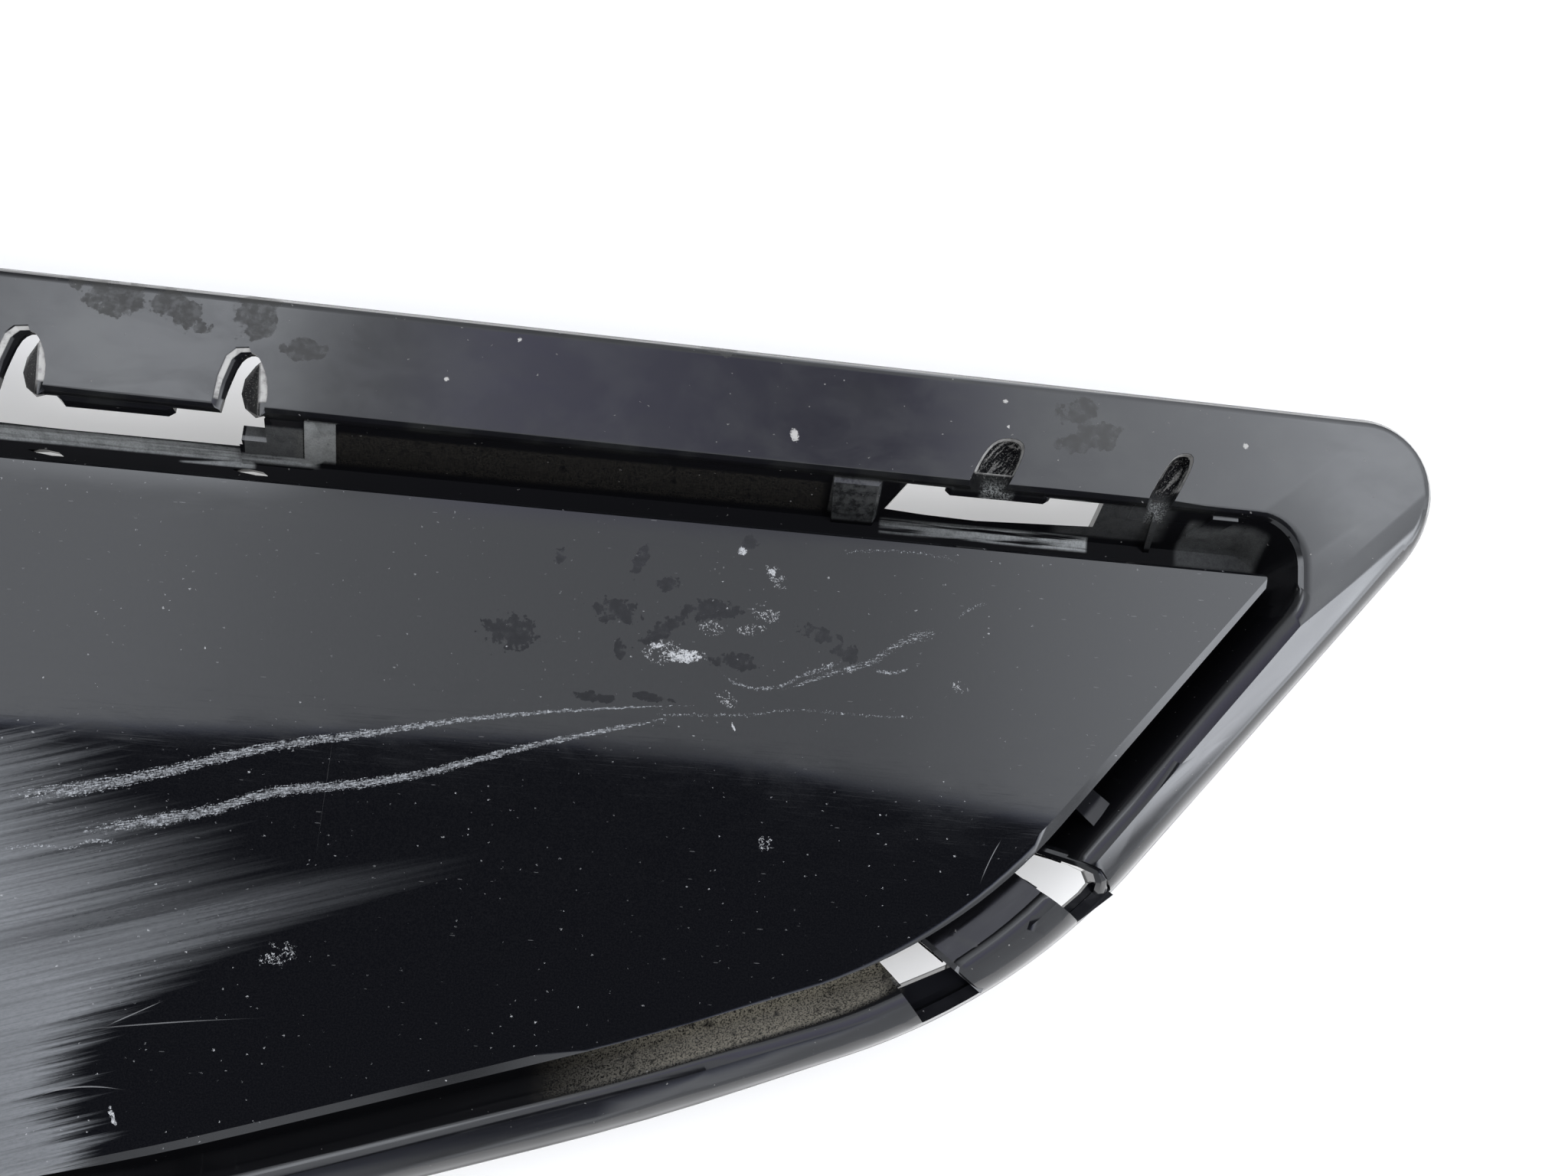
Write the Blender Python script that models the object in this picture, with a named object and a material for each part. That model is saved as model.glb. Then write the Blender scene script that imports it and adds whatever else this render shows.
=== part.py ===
"""One end of a glossy closed-grille trim: a lipped carrier tray, a raised gloss panel, screws, clips and seals."""
import math

import bmesh
import bpy
from mathutils import Matrix, Vector

MM = 0.001

# Plan outline of the raised panel, millimetres, going round clockwise from the top left corner.
LEFT_X = -95.0
TIP_X = 282.2
TIP_DROP = 2.5
HIP_X = 215.1
HIP_Y = -87.0
KEEL_X = 146.0
KEEL_Y = -111.6
BELLY_X = 56.0
BELLY_Y = -139.0
HEEL_Y = -175.0

# Heights, walls and clearances, millimetres.  Zero is the rim of the panel and the face of the flange.
CHANNEL_DEPTH = 14.0
WALL = 2.2
RIM_WALL = 1.7
FIT_GAP = 0.3
CROWN = 1.2
CROWN_REACH = 60.0
REAR_REACH = 16.0
SINK = 0.6

# Fasteners, millimetres.
SCREW_R = 1.75
SCREW_CLEAR = 0.35
SCREW_HEAD_R = 4.6
SCREW_HEAD_H = 2.4
SCREW_BITE = 8.0
BOSS_R = 4.2
CLIP_WIDTH = 11.0
CLIP_SHEET = 0.8
CLIP_HEIGHT = 10.0
CLIP_SPREAD = 2.2
BLADE_WIDTH = 15.0
BLADE_THICK = 2.6
RIB_THICK = 1.6
RIB_DEPTH = 6.5
SEAL_WIDTH = 4.4
SEAL_THICK = 3.2
FLANGE_BLADE_OUT = 26.0
FLANGE_EDGE_LEFT = FLANGE_BLADE_OUT + 18.6
FLANGE_EDGE_RIGHT = FLANGE_BLADE_OUT + 14.8
FLANGE_EDGE_CHEEK = FLANGE_BLADE_OUT + 14.4
SEAL_MARGIN = 2.3

FLOOR_Z = -CHANNEL_DEPTH
UNDER_Z = FLOOR_Z - WALL
BASE_Z = UNDER_Z - REAR_REACH

BASE = [
    (LEFT_X, 0.0),
    (TIP_X, 0.0),
    (TIP_X, -TIP_DROP),
    (HIP_X, HIP_Y),
    (KEEL_X, KEEL_Y),
    (BELLY_X, BELLY_Y),
    (LEFT_X, HEEL_Y),
]
TOP, CHEEK, FLANK, LOW_A, LOW_B, LOW_C, LEFT = range(7)
ARC_STEPS = [10, 12, 9, 16, 4, 4, 10]
SIDE_STEPS = [3, 0, 4, 1, 1, 3, 2]

# Wall sections of the tray: (distance out from the panel edge, height) from the floor edge to the skirt.
F = FLOOR_Z
SECTION_TOP_LEFT = [(7.4, F), (8.8, F + 1), (15.7, -2.6), (15.8, -1.4), (16.3, -0.5), (17.5, 0.0),
                    (FLANGE_EDGE_LEFT - 3.4, 0.0), (FLANGE_EDGE_LEFT - 1.8, -0.5),
                    (FLANGE_EDGE_LEFT - 0.6, -1.7), (FLANGE_EDGE_LEFT, -3.6)]
SECTION_TOP_RIGHT = [(7.0, F), (8.2, F + 1), (13.3, -2.6), (13.4, -1.4), (13.9, -0.5), (15.1, 0.0),
                     (FLANGE_EDGE_RIGHT - 3.3, 0.0), (FLANGE_EDGE_RIGHT - 1.7, -0.5),
                     (FLANGE_EDGE_RIGHT - 0.6, -1.7), (FLANGE_EDGE_RIGHT, -3.6)]
SECTION_CHEEK = [(2.7, F), (3.6, F + 1), (7.0, -2.7), (7.3, -1.4), (8.2, -0.5), (10.0, 0.0),
                 (FLANGE_EDGE_CHEEK - 3.8, -0.2), (FLANGE_EDGE_CHEEK - 1.9, -0.8),
                 (FLANGE_EDGE_CHEEK - 0.6, -2.2), (FLANGE_EDGE_CHEEK, -4.2)]
SECTION_FLANK_UP = [(2.6, F), (3.6, F + 1), (6.2, -4.0), (7.2, -2.2), (8.8, -0.9), (11.2, -0.3),
                    (16.8, -1.0), (19.4, -2.8), (21.2, -5.2), (22.2, -8.0)]
SECTION_FLANK_LOW = [(2.6, F), (3.8, F + 1.2), (7.0, -6.2), (8.2, -4.6), (9.6, -3.7), (11.6, -3.4),
                     (15.6, -5.2), (18.8, -8.6), (21.0, -12.4), (22.2, -16.4)]
SECTION_LOW = [(0.8, F), (3.8, F + 1.5), (7.0, -8.8), (8.4, -7.4), (9.6, -6.7), (11.0, -6.5),
               (14.4, -7.8), (17.3, -10.5), (19.2, -13.8), (20.0, -17.5)]
SECTION_LOW_HIP = [(0.8, F), (3.8, F + 1.5), (7.0, -8.6), (8.3, -7.1), (9.4, -6.3), (10.7, -6.0),
                   (13.4, -7.2), (15.7, -10.0), (17.0, -13.4), (17.6, -17.2)]
SECTION_LEFT_LOW = [(3.2, F), (4.4, F + 1), (8.4, -5.6), (9.6, -4.2), (11.0, -3.5), (12.8, -3.3),
                    (16.8, -5.0), (19.8, -8.0), (21.8, -11.8), (23.0, -15.5)]
SECTION_LEFT_UP = [(4.5, F), (5.6, F + 1), (9.4, -3.4), (10.2, -1.9), (11.6, -1.0), (13.4, -0.6),
                   (20.0, -1.0), (22.6, -2.8), (24.4, -5.2), (25.2, -8.2)]
TRAY_SIDES = [
    (SECTION_TOP_LEFT, SECTION_TOP_RIGHT),
    (SECTION_CHEEK, SECTION_CHEEK),
    (SECTION_FLANK_UP, SECTION_FLANK_LOW),
    (SECTION_LOW_HIP, SECTION_LOW),
    (SECTION_LOW, SECTION_LOW),
    (SECTION_LOW, SECTION_LOW),
    (SECTION_LEFT_LOW, SECTION_LEFT_UP),
]


def clear_scene():
    for obj in list(bpy.data.objects):
        bpy.data.objects.remove(obj, do_unlink=True)
    for coll in list(bpy.data.collections):
        bpy.data.collections.remove(coll)


def new_collection(name):
    coll = bpy.data.collections.new(name)
    bpy.context.scene.collection.children.link(coll)
    return coll


def make_material(name, color, rough, metal=0.0):
    mat = bpy.data.materials.new(name)
    mat.use_nodes = True
    shader = mat.node_tree.nodes["Principled BSDF"]
    shader.inputs["Base Color"].default_value = (color[0], color[1], color[2], 1.0)
    shader.inputs["Roughness"].default_value = rough
    shader.inputs["Metallic"].default_value = metal
    mat.diffuse_color = (color[0], color[1], color[2], 1.0)
    return mat


def line_hit(p0, p1, q0, q1):
    """Meeting point of the line through p0, p1 and the line through q0, q1."""
    ax, ay = p1[0] - p0[0], p1[1] - p0[1]
    bx, by = q1[0] - q0[0], q1[1] - q0[1]
    det = ax * by - ay * bx
    t = ((q0[0] - p0[0]) * by - (q0[1] - p0[1]) * bx) / det
    return (p0[0] + ax * t, p0[1] + ay * t)


def side_frame(side):
    """Start, end, unit direction and outward normal of one side of the panel outline."""
    a = Vector(BASE[side])
    b = Vector(BASE[(side + 1) % len(BASE)])
    run = (b - a).normalized()
    return a, b, run, Vector((-run.y, run.x))


def along(side, dist, out):
    """Plan point a distance along a side from its start and a distance out from it."""
    a, _, run, out_dir = side_frame(side)
    p = a + run * dist + out_dir * out
    return (p.x, p.y)


def corner_radius(corner, out):
    rules = [
        (14.0, 0.5, 60.0),
        (4.2, 0.62, 20.5),
        (5.5, 0.7, 26.0),
        (138.0, 1.0, 400.0),
        (600.0, 1.0, 900.0),
        (600.0, 1.0, 900.0),
        (22.0, 1.0, 80.0),
    ]
    base, gain, top = rules[corner]
    return max(0.4, min(base + gain * out, top))


def corner_room(corner, back, ahead):
    """Longest tangent a rounded corner may take from the sides before and after it."""
    cheek = {CHEEK: (0.47, 0.62), FLANK: (0.34, 0.47)}
    share_back, share_ahead = cheek.get(corner % len(BASE), (0.47, 0.47))
    return min(share_back * back, share_ahead * ahead)


def contour(sides, radii=None):
    """Closed loop of (x, y, z) points from one (out, z) pair at each end of each side.

    Every loop built from the same outline has the same number of points, so any two can be lofted.
    """
    count = len(BASE)
    lines = []
    for k in range(count):
        a, b, _, out_dir = side_frame(k)
        (d0, _), (d1, _) = sides[k]
        p = a + out_dir * d0
        q = b + out_dir * d1
        lines.append(((p.x, p.y), (q.x, q.y)))
    corners = [Vector(line_hit(*lines[k - 1], *lines[k])) for k in range(count)]
    pts = []
    for k in range(count):
        here = corners[k]
        back = corners[k - 1] - here
        ahead = corners[(k + 1) % count] - here
        turn = math.pi - back.angle(ahead)
        out = 0.5 * (sides[k - 1][1][0] + sides[k][0][0])
        r = radii[k] if radii else corner_radius(k, out)
        room = corner_room(k, back.length, ahead.length)
        r = min(r, room / math.tan(turn / 2))
        tangent = r * math.tan(turn / 2)
        start = here + back.normalized() * tangent
        centre = here + (back.normalized() + ahead.normalized()).normalized() * (r / math.cos(turn / 2))
        z_in = sides[k - 1][1][1]
        z_out = sides[k][0][1]
        steps = ARC_STEPS[k]
        for i in range(steps + 1):
            f = i / steps
            arm = start - centre
            arm.rotate(Matrix.Rotation(-turn * f, 2))
            p = centre + arm
            pts.append((p.x, p.y, z_in + (z_out - z_in) * f))
        nxt = corners[(k + 1) % count]
        back2 = here - nxt
        ahead2 = corners[(k + 2) % count] - nxt
        turn2 = math.pi - back2.angle(ahead2)
        out2 = 0.5 * (sides[k][1][0] + sides[(k + 1) % count][0][0])
        r2 = radii[(k + 1) % count] if radii else corner_radius((k + 1) % count, out2)
        room2 = corner_room(k + 1, back2.length, ahead2.length)
        r2 = min(r2, room2 / math.tan(turn2 / 2))
        leave = here + ahead.normalized() * tangent
        arrive = nxt + back2.normalized() * r2 * math.tan(turn2 / 2)
        z_a = sides[k][0][1]
        z_b = sides[k][1][1]
        for i in range(1, SIDE_STEPS[k] + 1):
            f = i / (SIDE_STEPS[k] + 1)
            p = leave.lerp(arrive, f)
            pts.append((p.x, p.y, z_a + (z_b - z_a) * f))
    return pts


def offset_section(section, thick, rim):
    """Underside of a wall section: its main runs moved in by the wall and met with each other."""
    runs = [
        ((section[0][0] - 10.0, section[0][1]), section[0]),
        (section[1], section[2]),
        (section[5], section[6]),
        (section[6], section[7]),
        (section[7], section[8]),
        (section[8], section[9]),
    ]
    moved = []
    for p, q in runs:
        dx, dz = q[0] - p[0], q[1] - p[1]
        size = math.hypot(dx, dz)
        nx, nz = dz / size * thick, -dx / size * thick
        moved.append(((p[0] + nx, p[1] + nz), (q[0] + nx, q[1] + nz)))
    under = [line_hit(*moved[i], *moved[i + 1]) for i in range(len(moved) - 1)]
    last = section[-1]
    under.append((last[0] - rim, last[1]))
    return under


def loft(name, loops, cap_first, cap_last, smooth=True):
    """Closed solid skinned over a list of equal-length loops."""
    bm = bmesh.new()
    rows = [[bm.verts.new(Vector(p) * MM) for p in loop] for loop in loops]
    n = len(rows[0])
    for a, b in zip(rows, rows[1:]):
        for i in range(n):
            j = (i + 1) % n
            bm.faces.new((a[i], a[j], b[j], b[i]))
    if cap_first:
        bm.faces.new(list(reversed(rows[0])))
    if cap_last:
        bm.faces.new(rows[-1])
    bmesh.ops.recalc_face_normals(bm, faces=bm.faces)
    if bm.calc_volume(signed=True) < 0:
        bmesh.ops.reverse_faces(bm, faces=bm.faces)
    for face in bm.faces:
        face.smooth = smooth
    mesh = bpy.data.meshes.new(name)
    bm.to_mesh(mesh)
    bm.free()
    return mesh


def add_prism(bm, outline, z0, z1):
    """Straight extrusion of a plan outline between two heights, in millimetres."""
    low = [bm.verts.new(Vector((x, y, z0)) * MM) for x, y in outline]
    face = bm.faces.new(low)
    out = bmesh.ops.extrude_face_region(bm, geom=[face])
    top = [v for v in out["geom"] if isinstance(v, bmesh.types.BMVert)]
    bmesh.ops.translate(bm, verts=top, vec=Vector((0, 0, (z1 - z0) * MM)))


def add_hull(bm, pts):
    """Convex block around a few corner points, in millimetres."""
    verts = [bm.verts.new(Vector(p) * MM) for p in pts]
    bmesh.ops.convex_hull(bm, input=verts)


def add_cylinder(bm, centre, radius, z0, z1, segments=20, radius_top=None):
    top = radius if radius_top is None else radius_top
    move = Matrix.Translation(Vector((centre[0], centre[1], (z0 + z1) / 2)) * MM)
    bmesh.ops.create_cone(bm, cap_ends=True, segments=segments, radius1=radius * MM, radius2=top * MM,
                          depth=(z1 - z0) * MM, matrix=move)


def add_box(bm, centre, size, z0, z1, angle=0.0):
    spin = Matrix.Rotation(angle, 4, "Z")
    grow = Matrix.Diagonal(Vector((size[0] * MM, size[1] * MM, (z1 - z0) * MM, 1)))
    move = Matrix.Translation(Vector((centre[0], centre[1], (z0 + z1) / 2)) * MM)
    bmesh.ops.create_cube(bm, size=1.0, matrix=move @ spin @ grow)


def helper(name, coll, bm):
    """Hidden solid that a Boolean adds or cuts with."""
    bmesh.ops.recalc_face_normals(bm, faces=bm.faces)
    mesh = bpy.data.meshes.new(name)
    bm.to_mesh(mesh)
    bm.free()
    obj = bpy.data.objects.new(name, mesh)
    coll.objects.link(obj)
    obj.hide_render = True
    obj.hide_viewport = False
    obj.display_type = "WIRE"
    return obj


def boolean(obj, tool, kind):
    mod = obj.modifiers.new(tool.name, "BOOLEAN")
    mod.operation = kind
    mod.solver = "EXACT"
    mod.object = tool


def softened(pts, rounds=1):
    """The same closed outline with its corners cut, so that it reads as a curve."""
    for _ in range(rounds):
        cut = []
        for p, q in zip(pts, pts[1:] + pts[:1]):
            cut.append((0.75 * p[0] + 0.25 * q[0], 0.75 * p[1] + 0.25 * q[1]))
            cut.append((0.25 * p[0] + 0.75 * q[0], 0.25 * p[1] + 0.75 * q[1]))
        pts = cut
    return pts


# Places of the fastenings: side, distance along it from its start, distance out from the panel edge.
TOP_RUN = TIP_X - LEFT_X
SCREWS = [
    (TOP, 0.07 * TOP_RUN, -13.0), (TOP, 0.35 * TOP_RUN, -13.0), (TOP, 0.63 * TOP_RUN, -13.0),
    (TOP, 0.88 * TOP_RUN, -13.0), (FLANK, 0.70, -13.0), (LOW_A, 0.70, -20.5),
    (LOW_C, 0.15, -22.0), (LOW_C, 0.80, -13.0),
]
FLANGE_BLADES = [0.085 * TOP_RUN, 0.455 * TOP_RUN, 0.705 * TOP_RUN, 0.985 * TOP_RUN]
PLATE_BLADES = [(FLANK, 0.47, -9.0), (LOW_A, 0.30, -9.0), (LOW_C, 0.46, -9.0), (LEFT, 0.52, -9.0)]

# Relief slots of the snap tongue, measured back from the panel's tip along the top edge.
SLOTS = (-281.0, -233.0)


def spot(entry):
    """Plan point and side angle of a fastening place; short distances are fractions of the side."""
    side, dist, out = entry
    a, b, run, _ = side_frame(side)
    if dist < 1.0:
        dist *= (b - a).length
    return along(side, dist, out), math.atan2(run.y, run.x)


def build_tray(coll, tools, mat):
    count = len(SECTION_TOP_LEFT)
    loops = []
    for i in range(count):
        loops.append(contour([(s[0][i], s[1][i]) for s in TRAY_SIDES]))
    under = [(offset_section(s[0], WALL, RIM_WALL), offset_section(s[1], WALL, RIM_WALL)) for s in TRAY_SIDES]
    for i in reversed(range(len(under[0][0]))):
        loops.append(contour([(u[0][i], u[1][i]) for u in under]))
    mesh = loft("carrier_tray", loops, True, True)
    obj = bpy.data.objects.new("carrier_tray", mesh)
    coll.objects.link(obj)
    obj.data.materials.append(mat)

    steps = [
        (tray_ribs(tools, True), "UNION"),
        (tray_ribs(tools, False), "UNION"),
        (tray_blades(tools), "UNION"),
        (tray_buttresses(tools), "UNION"),
        (tray_wall_blocks(tools), "UNION"),
        (tray_groove_cups(tools), "UNION"),
        (tray_bridge(tools), "UNION"),
        (slot_cutters(tools), "DIFFERENCE"),
        (slot_rim_cutters(tools), "DIFFERENCE"),
        (window_cutters(tools), "DIFFERENCE"),
        (slit_cutters(tools), "DIFFERENCE"),
        (groove_cutters(tools), "DIFFERENCE"),
        (slot_wedges(tools), "UNION"),
        (tray_hooks(tools), "UNION"),
        (opening_cutters(tools), "DIFFERENCE"),
        (recess_cutters(tools), "DIFFERENCE"),
        (opening_sills(tools), "UNION"),
        (opening_ledge(tools), "UNION"),
        (opening_kerb(tools), "UNION"),
        (bridge_edge(tools), "UNION"),
        (screw_hole_cutters(tools), "DIFFERENCE"),
    ]
    for tool, kind in steps:
        boolean(obj, tool, kind)
    return obj


def plan_span(axis, value, inset):
    """Where a straight line across the plate enters and leaves the panel outline, moved in by an inset."""
    hits = []
    n = len(BASE)
    for k in range(n):
        a, b, _, out_dir = side_frame(k)
        a = a - out_dir * inset
        b = b - out_dir * inset
        if (a[axis] - value) * (b[axis] - value) < 0:
            f = (value - a[axis]) / (b[axis] - a[axis])
            hits.append(a[1 - axis] + (b[1 - axis] - a[1 - axis]) * f)
    return min(hits), max(hits)


def tray_ribs(tools, long_way):
    """Stiffening ribs under the plate, in one direction."""
    bm = bmesh.new()
    inset = 6.0
    if long_way:
        for f in (0.14, 0.34, 0.54, 0.74):
            y = HEEL_Y * f
            lo, hi = plan_span(1, y, inset)
            add_box(bm, ((lo + hi) / 2, y), (hi - lo, RIB_THICK), UNDER_Z - RIB_DEPTH, UNDER_Z + SINK)
        return helper("tray_ribs_long", tools, bm)
    for i in range(6):
        x = LEFT_X + TOP_RUN * (0.12 + 0.135 * i)
        lo, hi = plan_span(0, x, inset)
        add_box(bm, (x, (lo + hi) / 2), (RIB_THICK, hi - lo), UNDER_Z - RIB_DEPTH + 0.4, UNDER_Z + SINK)
    return helper("tray_ribs_cross", tools, bm)


def blade_spots():
    spots = []
    for dist in FLANGE_BLADES:
        spots.append((along(TOP, dist, FLANGE_BLADE_OUT), 0.0, -WALL))
    for entry in PLATE_BLADES:
        place, angle = spot(entry)
        spots.append((place, angle, UNDER_Z))
    return spots


def tray_blades(tools):
    """Upright blades that the spring clips straddle."""
    bm = bmesh.new()
    for place, angle, root in blade_spots():
        add_box(bm, place, (BLADE_WIDTH, BLADE_THICK), BASE_Z + CLIP_SHEET + FIT_GAP, root + SINK, angle)
    return helper("tray_blades", tools, bm)


def tray_buttresses(tools):
    """Tapered web on each side of each blade."""
    bm = bmesh.new()
    for place, angle, root in blade_spots():
        run = Vector((math.cos(angle), math.sin(angle)))
        out = Vector((-run.y, run.x))
        low = root - 0.30 * (root - BASE_Z)
        for sign in (-1, 1):
            pts = []
            for end in (-1, 1):
                foot = Vector(place) + run * (sign * (BLADE_WIDTH / 2 - RIB_THICK)) + run * end * RIB_THICK / 2
                for reach, z in ((-6.5, root + SINK), (6.5, root + SINK), (1.6, low), (-1.6, low)):
                    p = foot + out * reach
                    pts.append((p.x, p.y, z))
            add_hull(bm, pts)
    return helper("tray_buttresses", tools, bm)


def tip(pts, z=None):
    """Points given from the panel's tip, turned into plan or solid points."""
    if z is None:
        return [(TIP_X + p[0], p[1]) + tuple(p[2:]) for p in pts]
    return [(TIP_X + p[0], p[1], z) for p in pts]


def hip(pts, z=None):
    """Points given from the corner where the flank meets the lower edge."""
    if z is None:
        return [(HIP_X + p[0], HIP_Y + p[1]) + tuple(p[2:]) for p in pts]
    return [(HIP_X + p[0], HIP_Y + p[1], z) for p in pts]


def tray_wall_blocks(tools):
    """Thickened stretches of the channel wall beside the windows, and the cross bar of the flank channel."""
    bm = bmesh.new()
    low = FLOOR_Z - SINK
    add_hull(bm, tip([(-235.5, 14.4, -2.3), (-221.0, 14.4, -2.3), (-237.0, 6.2, low), (-221.5, 6.2, low),
                      (-213.0, 15.4, -2.8), (-216.0, 9.4, low), (-235.5, 17.0, -2.8), (-213.0, 16.6, -2.8),
                      (-237.0, 10.4, low), (-214.0, 10.4, low)]))
    add_hull(bm, tip([(-101.0, 12.6, -2.6), (-90.7, 12.6, -2.6), (-100.0, 5.6, low), (-90.4, 5.6, low),
                      (-101.0, 15.4, -2.6), (-89.0, 15.0, -2.6), (-100.6, 9.8, low), (-88.0, 9.6, low)]))
    add_hull(bm, tip([(-12.4, 12.4, -2.6), (-6.4, 12.4, -2.6), (-16.2, 9.2, -9.0), (-11.6, 9.2, -9.0),
                      (-12.4, 15.0, -2.6), (-6.4, 15.0, -2.6), (-16.2, 11.8, -9.0), (-11.6, 11.8, -9.0)]))
    add_hull(bm, tip([(-26.2, 12.9, -2.8), (-24.8, 12.9, -2.8), (-24.6, 5.4, low), (-23.2, 5.4, low),
                      (-26.2, 15.0, -2.8), (-24.8, 15.0, -2.8), (-24.6, 9.6, low), (-23.2, 9.6, low)]))
    bar = [(26.4, 31.2), (30.4, 35.6), (39.4, 27.8), (34.0, 23.6)]
    tops = [-8.6, -8.6, -3.9, -3.9]
    add_hull(bm, hip([(x, y, z) for (x, y), z in zip(bar, tops)]) + hip(bar, low))
    return helper("tray_wall_blocks", tools, bm)


def tray_groove_cups(tools):
    """Closed cups under the flange that hold the two blind grooves."""
    bm = bmesh.new()
    for pts in ([(-74.0, 16.6), (-70.0, 24.6), (-64.5, 28.8), (-56.0, 27.6), (-56.4, 22.0), (-60.6, 15.4)],
                [(-30.6, 16.4), (-26.4, 25.2), (-22.0, 28.8), (-15.8, 28.0), (-20.0, 18.0), (-22.4, 15.4)]):
        add_hull(bm, tip(pts, -1.2) + tip(pts, -5.6))
    return helper("tray_groove_cups", tools, bm)


def tray_bridge(tools):
    """Ramp that fills the channel between the two hip openings, lofted round the hip."""
    sink = 138.0
    a, b, _, out_a = side_frame(FLANK)
    c, d, _, out_b = side_frame(LOW_A)
    centre = Vector(line_hit(a - out_a * sink, b - out_a * sink, c - out_b * sink, d - out_b * sink))

    def polar(point, out):
        arm = Vector(point) - centre
        arm = arm.normalized() * (sink + out)
        return centre + arm

    near = hip([(12.9, 16.2), (-7.6, 0.0)])
    far = hip([(22.4, 10.2), (1.4, -6.6)])
    rows = []
    steps = 6
    for i in range(steps + 1):
        f = i / steps
        p = polar(Vector(near[0]).lerp(Vector(near[1]), f), 0.9)
        q = polar(Vector(far[0]).lerp(Vector(far[1]), f), 11.2)
        crest = -4.4 - 1.0 * f
        rows.append([(p.x, p.y, crest - 4.0), (q.x, q.y, crest), (q.x, q.y, FLOOR_Z - SINK), (p.x, p.y, FLOOR_Z - SINK)])
    bm = bmesh.new()
    rings = [[bm.verts.new(Vector(p) * MM) for p in row] for row in rows]
    for r, t in zip(rings, rings[1:]):
        for i in range(4):
            j = (i + 1) % 4
            bm.faces.new((r[i], r[j], t[j], t[i]))
    bm.faces.new(rings[0])
    bm.faces.new(list(reversed(rings[-1])))
    return helper("tray_bridge", tools, bm)


def slot_cutters(tools):
    """Relief slots that free the snap tongue, wide at the lip and round at the root."""
    bm = bmesh.new()
    for x in SLOTS:
        outline = [(-5.9, 9.0), (-5.4, 16.2), (-4.6, 20.8), (-3.2, 26.4), (-1.5, 28.4), (0.4, 28.7),
                   (2.1, 27.0), (3.7, 24.0), (4.7, 20.1), (4.7, 16.7), (3.6, 13.6), (2.8, 9.0)]
        add_prism(bm, tip([(x + px, py) for px, py in softened(outline)]), -8.0, 3.0)
    return helper("slot_cutters", tools, bm)


def slot_rim_cutters(tools):
    """Rolled lead-in along the left edge of each relief slot."""
    bm = bmesh.new()
    for x in SLOTS:
        rim = [(-7.3, 14.6), (-7.0, 22.9), (-5.9, 27.6), (-4.0, 29.6), (-1.0, 30.0)]
        deep = [(-4.2, 14.6), (-3.6, 20.4), (-2.4, 25.4), (-1.0, 27.2), (0.3, 27.4)]
        add_hull(bm, tip([(x + px, py) for px, py in rim], 0.02) + tip([(x + px, py) for px, py in rim], 1.0)
                 + tip([(x + px, py) for px, py in deep], -1.9) + tip([(x + px, py) for px, py in deep], 1.0))
    return helper("slot_rim_cutters", tools, bm)


def slot_wedges(tools):
    """Lens-shaped sloping wall on the right of each relief slot."""
    bm = bmesh.new()
    for x in SLOTS:
        top = [(2.1, 26.9), (3.7, 24.0), (4.7, 20.1), (4.7, 16.7), (3.7, 14.2)]
        low = [(-1.0, 27.4), (-2.9, 24.0), (-3.1, 20.5), (-1.8, 17.2), (0.9, 15.2)]
        back = [(4.4, 26.6), (5.7, 24.0), (6.0, 17.0)]
        add_hull(bm, tip([(x + px, py) for px, py in top], -0.25) + tip([(x + px, py) for px, py in low], -5.2)
                 + tip([(x + px, py) for px, py in back], -0.9) + tip([(x + px, py) for px, py in back], -5.2))
    return helper("slot_wedges", tools, bm)


def groove_cutters(tools):
    """Blind oblique grooves with a rounded trough, open to the channel."""
    bm = bmesh.new()
    for mouth, trough in (([(-72.3, 11.0), (-68.2, 22.0), (-64.0, 26.6), (-57.8, 26.2), (-58.0, 21.6), (-63.2, 11.0)],
                           [(-67.4, 11.0), (-64.6, 21.4), (-62.2, 24.6), (-59.6, 24.4), (-60.2, 21.2), (-65.0, 11.0)]),
                          ([(-30.6, 11.4), (-25.2, 23.0), (-21.6, 27.2), (-17.2, 26.7), (-21.2, 17.4), (-24.7, 11.4)],
                           [(-28.2, 11.4), (-23.4, 22.6), (-21.2, 25.0), (-19.2, 24.6), (-23.0, 17.0), (-25.8, 11.4)])):
        middle = [((2 * a[0] + b[0]) / 3, (2 * a[1] + b[1]) / 3) for a, b in zip(mouth, trough)]
        add_hull(bm, tip(softened(mouth, 2), 0.6) + tip(softened(middle, 2), -1.9)
                 + tip(softened(trough), -3.5))
    return helper("groove_cutters", tools, bm)


def window_cutters(tools):
    """Windows through the channel wall below the tongues, and the two drain slits of the floor."""
    bm = bmesh.new()
    add_prism(bm, tip([(-297.0, 10.2), (-275.0, 9.9), (-235.6, 9.9), (-235.6, 17.6), (-297.0, 18.2)]), -24.0, -2.35)
    add_prism(bm, tip([(-88.0, 9.6), (-78.5, 9.2), (-66.0, 9.0), (-38.4, 9.8), (-38.4, 16.6), (-82.5, 16.6),
                       (-83.2, 15.0)]), -24.0, -2.35)
    return helper("window_cutters", tools, bm)


def slit_cutters(tools):
    """Narrow leaf-shaped drain slits in the channel floor close to the panel."""
    bm = bmesh.new()
    leaf = [(-4.2, 0.35), (-2.2, -0.1), (1.5, -0.55), (4.2, -0.5), (3.0, 0.3), (-0.2, 0.75)]
    for x, y in ((-281.0, 4.8), (-235.0, 4.7)):
        add_prism(bm, tip([(x + px, y + py) for px, py in leaf]), -24.0, -10.0)
    return helper("slit_cutters", tools, bm)


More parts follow.
